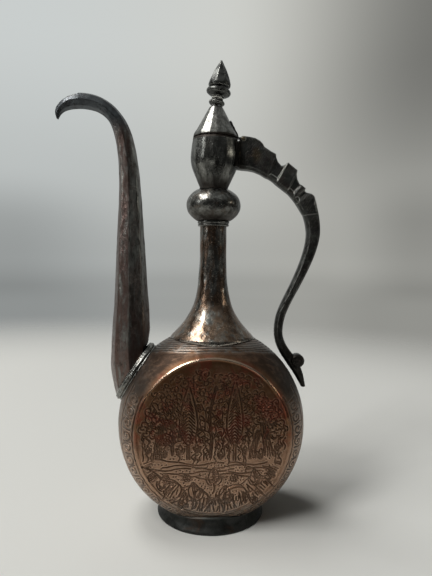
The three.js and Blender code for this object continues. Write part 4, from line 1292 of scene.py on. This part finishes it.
def cup_solid(grow):
    """The mouth cup as a full solid, grown all round."""
    line = offset(cup_line(), -grow)
    profile = [(TIP, line[0][1]), *line, (TIP, line[-1][1])]
    return capped(faceted(to_corners(profile, FACETS), CUP_CORNERS))


def cup_line():
    return [(12.1, CUP_BOTTOM), *smooth_line(CUP_LINE, 40)]


def handle_shape():
    """The cast handle: root plate, hinge ears, carved crest, strap, thumb knob and tail."""
    crest = softened(bar(CREST_ROWS), 0.45)
    band = softened(bar(inner_band(CREST_ROWS)), 0.4)
    strap = softened(bar(rail_sections(STRAP_ROWS, 90)), 0.5)
    radius, half = KNOB["radius"], KNOB["half"]
    knob = crosswise([(TIP, -half), (2.1, -half), (2.4, -half + 0.2), (2.7, -half + 0.2), (3.0, -half),
                      (radius - 1.2, -half), (radius, 1.2 - half)], 48, KNOB["middle"])
    radius, half = EAR["radius"], EAR["half"]
    ears = crosswise([(TIP, -half), (radius - 0.3, -half), (radius, 0.3 - half)], 32, HINGE)
    bore = crosswise([(TIP, -12), (EAR["bore"], -12)], 24, HINGE)
    low, high = PLATE["bottom"], PLATE["top"]
    window = prism([(8, low), (60, low), (60, high), (8, high)], 2 * PLATE["half"])
    cup = cup_solid(CUP_GAP)
    plate = carved(cup_solid(CUP_GAP + PLATE["thickness"]), [("DIFFERENCE", cup), ("INTERSECT", window)])
    back, floor = HINGE[0] + 3.4, HINGE[2] - 2.4
    slot = prism([(0, floor), (back, floor), (back, 360), (0, 360)], 2 * LEAF_SLOT)
    return carved(crest, [("UNION", band), ("UNION", strap), ("UNION", knob), ("UNION", ears), ("DIFFERENCE", cup),
                          ("UNION", plate), ("DIFFERENCE", slot), ("DIFFERENCE", bore)])


# Building steps

def body_reach(x, y):
    """How far above and below its centre the body reaches over a place, in millimetres."""
    rim = rim_radius(np.clip(y, -0.99 * RIM_DEPTH, 0.99 * RIM_DEPTH))
    return BODY_STRETCH * np.sqrt(np.maximum(rim ** 2 - x ** 2, 0))


def dress(name, metal):
    """A finish on a node that keeps its own mesh."""
    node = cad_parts[name]
    node.data.materials.clear()
    node.data.materials.append(metal)


def lid_place(points):
    """Pieces of the head lean with it."""
    return leaning(points, HEAD_LEAN, (0, CUP_BOTTOM))


def finial_place(points):
    """The finial leans further than the rest of the head."""
    return lid_place(leaning(points, FINIAL_LEAN, (0, RING_BOTTOM)))


class EWER_OT_body(bpy.types.Operator):
    """The two engraved dishes of the body"""
    bl_idname = "ewer.body"
    bl_label = "Body"

    def execute(self, context):
        sizes = context.scene.ewer_sizes
        front, cuts = dish(-1, 640, 0.62, 46, garden_front(), sizes)
        piece("front_dish", front, "vessel", "body_front", body_finish("Front copper"), cuts)
        back, cuts = dish(1, 480, 0.7, 46, garden_back(), sizes)
        piece("back_dish", back, "vessel", "body_back", body_finish("Back copper"), cuts)
        return {"FINISHED"}


class EWER_OT_foot(bpy.types.Operator):
    """The foot ring, cut to the body's underside, and the disc inside it"""
    bl_idname = "ewer.foot"
    bl_label = "Foot"

    def execute(self, context):
        sizes = context.scene.ewer_sizes
        points = handmade(solid(FOOT_LINE, 240), sizes.casting / MM, 15, 5)
        under = BODY_CENTRE - body_reach(points[..., 0], points[..., 1]) - 0.1
        points[..., 2] = np.clip(points[..., 2], 0, under)
        # The foot's bronze is a much darker copy, painted shade under the body.
        bronze = bronze_finish("Foot bronze", 0.4, 0.46, 0.1, shade=0.42, rubbed=0.08)
        piece("foot", grid(points, closed=True), "vessel", "foot_ring", bronze)
        dress("base_disc", tin_finish("Disc copper", (0.30, 0.17, 0.10), 0.8))
        return {"FINISHED"}


class EWER_OT_neck(bpy.types.Operator):
    """The flared neck on the shoulder, and the collar at its top"""
    bl_idname = "ewer.neck"
    bl_label = "Neck"

    def execute(self, context):
        sizes = context.scene.ewer_sizes
        line = walled([*NECK_SKIRT, *smooth_line(NECK_LINE, 110)], SHEET)
        points = handmade(solid(line, 200), sizes.hammering / MM * 0.9, 13, 6)
        over = BODY_CENTRE + body_reach(points[..., 0], points[..., 1]) + 0.12
        points[..., 2] = np.maximum(points[..., 2], over)
        # The neck's tin has a painted highlight low on its flare.
        piece("neck", grid(points, closed=True), "vessel", "neck_tube",
              tin_finish("Neck tin", (0.16, 0.096, 0.060), 0.8, 4.5, 1.05, 0.5, rubbed=172))
        collar = handmade(solid(COLLAR_LINE, 120), 0.08, 9, 2)
        piece("collar", grid(collar, closed=True), "vessel", "neck_collar",
              tin_finish("Collar tin", (0.12, 0.08, 0.06), 0.3, 1, 0.55, 0.6))
        return {"FINISHED"}


class EWER_OT_knop(bpy.types.Operator):
    """The hollow bulge over the neck"""
    bl_idname = "ewer.knop"
    bl_label = "Knop"

    def execute(self, context):
        sizes = context.scene.ewer_sizes
        points = handmade(solid(knop_profile(), 160), sizes.hammering / MM, 9, 7)
        # The knop is painted dark below 254 mm as shade.
        piece("bulge", grid(points, closed=True), "vessel", "knop",
              tin_finish("Knop tin", (0.13, 0.09, 0.065), 0.45, 1, 0.8, 1.0, stain=0.7, beaten=0.9, shaded_below=254))
        return {"FINISHED"}


class EWER_OT_mouth(bpy.types.Operator):
    """The faceted mouth cup"""
    bl_idname = "ewer.mouth"
    bl_label = "Mouth cup"

    def execute(self, context):
        sizes = context.scene.ewer_sizes
        line = walled(cup_line(), SHEET)
        points = faceted(to_corners(line[:-1], FACETS), CUP_CORNERS, 8, 0.04, 0.5)
        points = handmade(points, sizes.casting / MM, 12, 8)
        # The cup is painted dark below 281 mm as shade.
        piece("cup", grid(lid_place(points), closed=True), "vessel", "mouth_cup",
              tin_finish("Cup tin", (0.06, 0.055, 0.05), 0.4, 5, 0.75, 0.5, LID_SEAM, stain=0.35, beaten=0.4,
                         shaded_below=281))
        return {"FINISHED"}


class EWER_OT_lid(bpy.types.Operator):
    """The faceted lid with its bezel, leaf and rivets"""
    bl_idname = "ewer.lid"
    bl_label = "Lid"

    def execute(self, context):
        sizes = context.scene.ewer_sizes
        inside = offset(LID_LINE, SHEET)
        socket = [(ROD_BORE, LID_TOP), (ROD_BORE, LID_TOP - 2 * SHEET), (4.0, LID_TOP - 2 * SHEET)]
        line = [*LID_LINE, *socket, *inside[2:-2][::-1], (LID_LINE[0][0] - SHEET, LID_BOTTOM)]
        points = handmade(faceted(to_corners(line, FACETS), LID_CORNERS, 6, 0.04, 0.25), sizes.casting / MM, 10, 4)
        tin = tin_finish("Lid tin", (0.07, 0.065, 0.06), 0.35, 2.5, 1.05, 0.7, LID_SEAM, 0.06, stain=0.6,
                         beaten=0.7)
        piece("lid_top", grid(lid_place(points), closed=True), "lid", "lid_cone", tin)
        dress("lid_bezel", tin)
        # The leaf's tin is a much darker copy of the lid's: painted shade at the hinge.
        dress("lid_leaf", tin_finish("Leaf tin", (0.06, 0.055, 0.05), 0.5, 1, 0.4, 0.4))
        brass = brass_finish("Lid brass", 0.12)
        across = (math.cos(math.radians(LEAF_SLOPE)), 0, math.sin(math.radians(LEAF_SLOPE)))
        for node in ("leaf_rivet_lower", "leaf_rivet_upper"):
            rivet(node, "lid", 2.9, across, brass)
        return {"FINISHED"}


class EWER_OT_finial(bpy.types.Operator):
    """The finial's ring, bead and bud"""
    bl_idname = "ewer.finial"
    bl_label = "Finial"

    def execute(self, context):
        bronze = bronze_finish("Finial bronze", 0.0, 0.25, 0.0, 0.0)
        for part, line, level in (("ring", RING_LINE, RING_BOTTOM), ("bead", BEAD_LINE, BEAD_BOTTOM)):
            points = finial_place(handmade(solid(raised(line, level), 96), 0.07, 6, 1))
            piece("turned_" + part, grid(points, closed=True), "lid", "finial_" + part, bronze)
        points = finial_place(leaning(bud_points(), BUD_LEAN, (0, BUD_BOTTOM)))
        piece("bud", capped(points), "lid", "finial_bud", bronze)
        dress("finial_pin", brass_finish("Rod brass"))
        return {"FINISHED"}


class EWER_OT_spout(bpy.types.Operator):
    """The hooked eight-sided spout on its moulded saddle flange"""
    bl_idname = "ewer.spout"
    bl_label = "Spout"

    def execute(self, context):
        sizes = context.scene.ewer_sizes
        piece("spout", spout_shape(sizes), "vessel", "spout_tube",
              tin_finish("Spout tin", (0.17, 0.105, 0.088), 0.6, 5, 0.82, 1.0, dull=0.08, cold=322, split=-69))
        flange = handmade(flange_shape()[:-1], sizes.casting / MM, 9, 3)
        piece("saddle", grid(flange, closed=True), "vessel", "spout_flange",
              tin_finish("Saddle tin", (0.16, 0.12, 0.09), 0.4, 1, 0.9, 0.2, stain=0.45, beaten=0.3))
        return {"FINISHED"}


class EWER_OT_handle(bpy.types.Operator):
    """The cast handle with its hinge ears, its rivets and the hinge pin"""
    bl_idname = "ewer.handle"
    bl_label = "Handle"

    def execute(self, context):
        points, faces = handle_shape()
        piece("cast_handle", (lid_place(points), faces), "vessel", "handle",
              bronze_finish("Handle bronze", 0.2, 0.32, 0.6, hatched=1.0, shade=0.8))
        brass = brass_finish("Handle brass")
        for node, side in (("handle_rivet_front", 1), ("handle_rivet_back", -1)):
            out = math.radians(-side * 360 / FACETS)
            rivet(node, "vessel", 3.4, (math.cos(out), math.sin(out), 0), brass)
        end = [(TIP, -8), (1.3, -8), (1.7, -7.7), (1.85, -7.35), (1.1, -7.3)]
        piece("pin", crosswise(end, 32, place_of("hinge_pin")), "vessel", "hinge_pin", brass)
        return {"FINISHED"}


# Table, wall, lamps and camera

DAYLIGHT = (1.0, 0.99, 0.97)
METAL_LAMPS = [
    ("Ceiling lamp", (-1.20, -0.08, 2.42), 0.75, 0.75, 28.0, DAYLIGHT),
    ("Window lamp", (-1.74, -1.26, 2.50), 0.68, 0.90, 44.0, (1.0, 0.985, 0.96)),
    ("Left lamp", (-1.76, -0.72, 0.92), 0.12, 0.90, 3.6, (0.98, 1.0, 1.0)),
    ("Right lamp", (2.76, -0.60, 1.00), 0.14, 0.14, 2.8, (1.0, 0.95, 0.82)),
]
TABLE_LAMPS = [
    ("Back lamp", (-1.20, 0.90, 4.30), 1.4, 1.4, 62.0, DAYLIGHT),
    ("Side lamp", (-2.45, -0.75, 3.70), 1.8, 1.8, 66.0, DAYLIGHT),
    ("Front lamp", (-2.94, -2.38, 3.08), 1.4, 1.4, 96.0, DAYLIGHT),
]
LAMP_AIM = (0, 0, 0.2)
# Corners of a dark sheet on the table in front of the vessel, seen only in reflections: painted shade.
SHADE_SHEET = [(-0.12, -1.2, 0.002), (0.6, -1.2, 0.002), (0.6, -0.27, 0.002), (-0.45, -0.27, 0.002), (-0.12, -0.65, 0.002)]
EYE = ((AXIS - 18.4) * MM, -0.4224, 0.2174)
HEADING, TILT, ROLL = -2.5, -3.5, 0.7
LENS = 31.25
SENSOR = 36
LENS_SHIFT = 0.0058


def staged(made):
    """A stage object. Places and sizes of the stage are in metres."""
    bpy.context.collection.objects.link(made)
    return made


def staged_mesh(name, points, faces, surface):
    mesh = bpy.data.meshes.new(name)
    mesh.from_pydata(points, [], faces)
    mesh.materials.append(surface)
    return staged(bpy.data.objects.new(name, mesh))


def disc(radius, rings, sides):
    """A flat disc round the vessel."""
    radii = np.linspace(0, radius, rings + 1)[1:]
    angles = np.linspace(0, 2 * math.pi, sides, endpoint=False)
    points = np.stack([radii[:, None] * np.cos(angles), radii[:, None] * np.sin(angles),
                       np.zeros((rings, sides))], axis=2)
    flat, faces = grid(points[::-1], caps=(False, True))
    return flat.tolist(), faces


def table_finish():
    """Pale matt table that fades out at its far edge."""
    made = bpy.data.materials.new("Table")
    wire = blank(made)
    place = wire.node("ShaderNodeTexCoord", output="Object")
    x, y, _ = place.xyz()
    far = (x ** 2.0 + y ** 2.0) ** 0.5 + x * 0.2
    matt = wire.node("ShaderNodeBsdfDiffuse", inputs={"Color": rgba(bpy.context.scene.ewer_colours.table)})
    clear = wire.node("ShaderNodeBsdfTransparent")
    mix = wire.node("ShaderNodeMixShader", inputs={0: far.step(0.55, 1.45), 1: matt, 2: clear})
    wire.node("ShaderNodeOutputMaterial", inputs={"Surface": mix})
    return made


# The matt black of the sheet that stands for shade in reflections.
def shade_sheet_finish():
    made = bpy.data.materials.new("Dark shade sheet")
    wire = blank(made)
    matt = wire.node("ShaderNodeBsdfDiffuse", inputs={"Color": (0.02, 0.02, 0.02, 1)})
    wire.node("ShaderNodeOutputMaterial", inputs={"Surface": matt})
    return made


def room():
    """The room's light: a pale wall behind the table and a dark room in front. The camera sees a wall of its own,
    lighter above the table's edge, with a dark corner on the right."""
    world = bpy.data.worlds.new("Room")
    bpy.context.scene.world = world
    wire = blank(world)
    x, y, z = wire.node("ShaderNodeTexCoord", output="Generated").xyz()
    wall = y.step(0.0, 0.5) * z.step(-0.35, -0.05) * x.step(0.85, 0.2).between(0.35, 1.0) * 0.38
    ceiling = z.step(0.40, 0.90) * y.step(0.1, -0.5).between(0.12, 0.34)
    glossy = wire.node("ShaderNodeLightPath", output="Is Glossy Ray")
    glow = wire.node("ShaderNodeBackground", inputs={
        "Color": (0.97, 1, 0.98, 1),
        "Strength": (wall + ceiling + 0.045) * glossy.between(0.2, 1.0)})
    pale = z.step(-0.09, 0.0) * 0.13 + z.step(0.0, 0.15) * 0.10 + z.step(0.12, 0.40) * 0.10 + 0.285
    pale = pale + z.step(-0.04, -0.08) * x.step(-0.30, -0.05) * x.step(0.36, 0.20) * 0.055
    shade = 1 - x.step(0.04, 0.42) * z.step(-0.10, 0.36) * 0.71
    sides = x.step(-0.12, -0.34) + x.step(0.28, 0.42)
    shade = shade - sides * z.step(0.17, 0.06) * z.step(-0.09, -0.05) * 0.22
    tint = x.step(-0.30, 0.30).mixed((0.95, 1.0, 0.99, 1), (1.0, 1.0, 0.93, 1))
    seen = wire.node("ShaderNodeBackground", inputs={"Color": tint, "Strength": pale * shade})
    camera = wire.node("ShaderNodeLightPath", output="Is Camera Ray")
    both = wire.node("ShaderNodeMixShader", inputs={0: camera, 1: glow, 2: seen})
    wire.node("ShaderNodeOutputWorld", inputs={"Surface": both})


def lamp(name, place, width, height, power, tint):
    """A soft lamp of that many watts that looks at the vessel."""
    light = bpy.data.lights.new(name, "AREA")
    light.shape = "RECTANGLE"
    light.size, light.size_y = width, height
    light.energy = power
    light.color = tint
    made = bpy.data.objects.new(name, light)
    made.location = place
    made.rotation_euler = (Vector(place) - Vector(LAMP_AIM)).to_track_quat("Z", "Y").to_euler()
    return staged(made)


class EWER_OT_table(bpy.types.Operator):
    """The table, the room's light, the lamps and the camera"""
    bl_idname = "ewer.table"
    bl_label = "Table and light"

    def execute(self, context):
        staged_mesh("table", *disc(1.7, 30, 96), table_finish())
        # A dark sheet seen only in reflections: painted shade in front of the vessel, where the table would reflect
        # pale.
        shade_sheet = staged_mesh("dark_shade_sheet", SHADE_SHEET, [tuple(range(len(SHADE_SHEET)))], shade_sheet_finish())
        shade_sheet.visible_camera = shade_sheet.visible_diffuse = shade_sheet.visible_shadow = False
        room()
        for row in METAL_LAMPS:
            lamp(*row).visible_diffuse = False
        for row in TABLE_LAMPS:
            lamp(*row).visible_glossy = False
        view = bpy.data.cameras.new("Camera")
        view.lens = LENS
        view.sensor_width = SENSOR
        view.shift_x = LENS_SHIFT
        view.clip_start = 0.01
        eye = bpy.data.objects.new("Camera", view)
        turn = (Matrix.Rotation(math.radians(HEADING), 4, "Z") @ Matrix.Rotation(math.radians(90 + TILT), 4, "X")
                @ Matrix.Rotation(math.radians(ROLL), 4, "Z"))
        eye.matrix_world = Matrix.Translation(EYE) @ turn
        bpy.context.collection.objects.link(eye)
        bpy.context.scene.camera = eye
        bpy.context.scene.view_settings.view_transform = "Standard"
        return {"FINISHED"}


# Add-on

STEPS = [EWER_OT_body, EWER_OT_foot, EWER_OT_neck, EWER_OT_knop, EWER_OT_mouth, EWER_OT_lid, EWER_OT_finial,
         EWER_OT_spout, EWER_OT_handle, EWER_OT_table]


class EWER_PT_panel(bpy.types.Panel):
    bl_idname = "EWER_PT_panel"
    bl_label = "Ewer"
    bl_space_type = "VIEW_3D"
    bl_region_type = "UI"
    bl_category = "Ewer"

    def draw(self, context):
        for group in (context.scene.ewer_sizes, context.scene.ewer_colours):
            for name in type(group).__annotations__:
                self.layout.prop(group, name)
        for step in STEPS:
            self.layout.operator(step.bl_idname)


CLASSES = [EwerSizes, EwerColours, *STEPS, EWER_PT_panel]


def register():
    for kind in CLASSES:
        bpy.utils.register_class(kind)
    bpy.types.Scene.ewer_sizes = PointerProperty(type=EwerSizes)
    bpy.types.Scene.ewer_colours = PointerProperty(type=EwerColours)


def unregister():
    del bpy.types.Scene.ewer_colours
    del bpy.types.Scene.ewer_sizes
    for kind in reversed(CLASSES):
        bpy.utils.unregister_class(kind)


def main():
    register()
    bpy.ops.ewer.body()
    bpy.ops.ewer.foot()
    bpy.ops.ewer.neck()
    bpy.ops.ewer.knop()
    bpy.ops.ewer.mouth()
    bpy.ops.ewer.lid()
    bpy.ops.ewer.finial()
    bpy.ops.ewer.spout()
    bpy.ops.ewer.handle()
    bpy.ops.ewer.table()


if __name__ == "__main__":
    main()
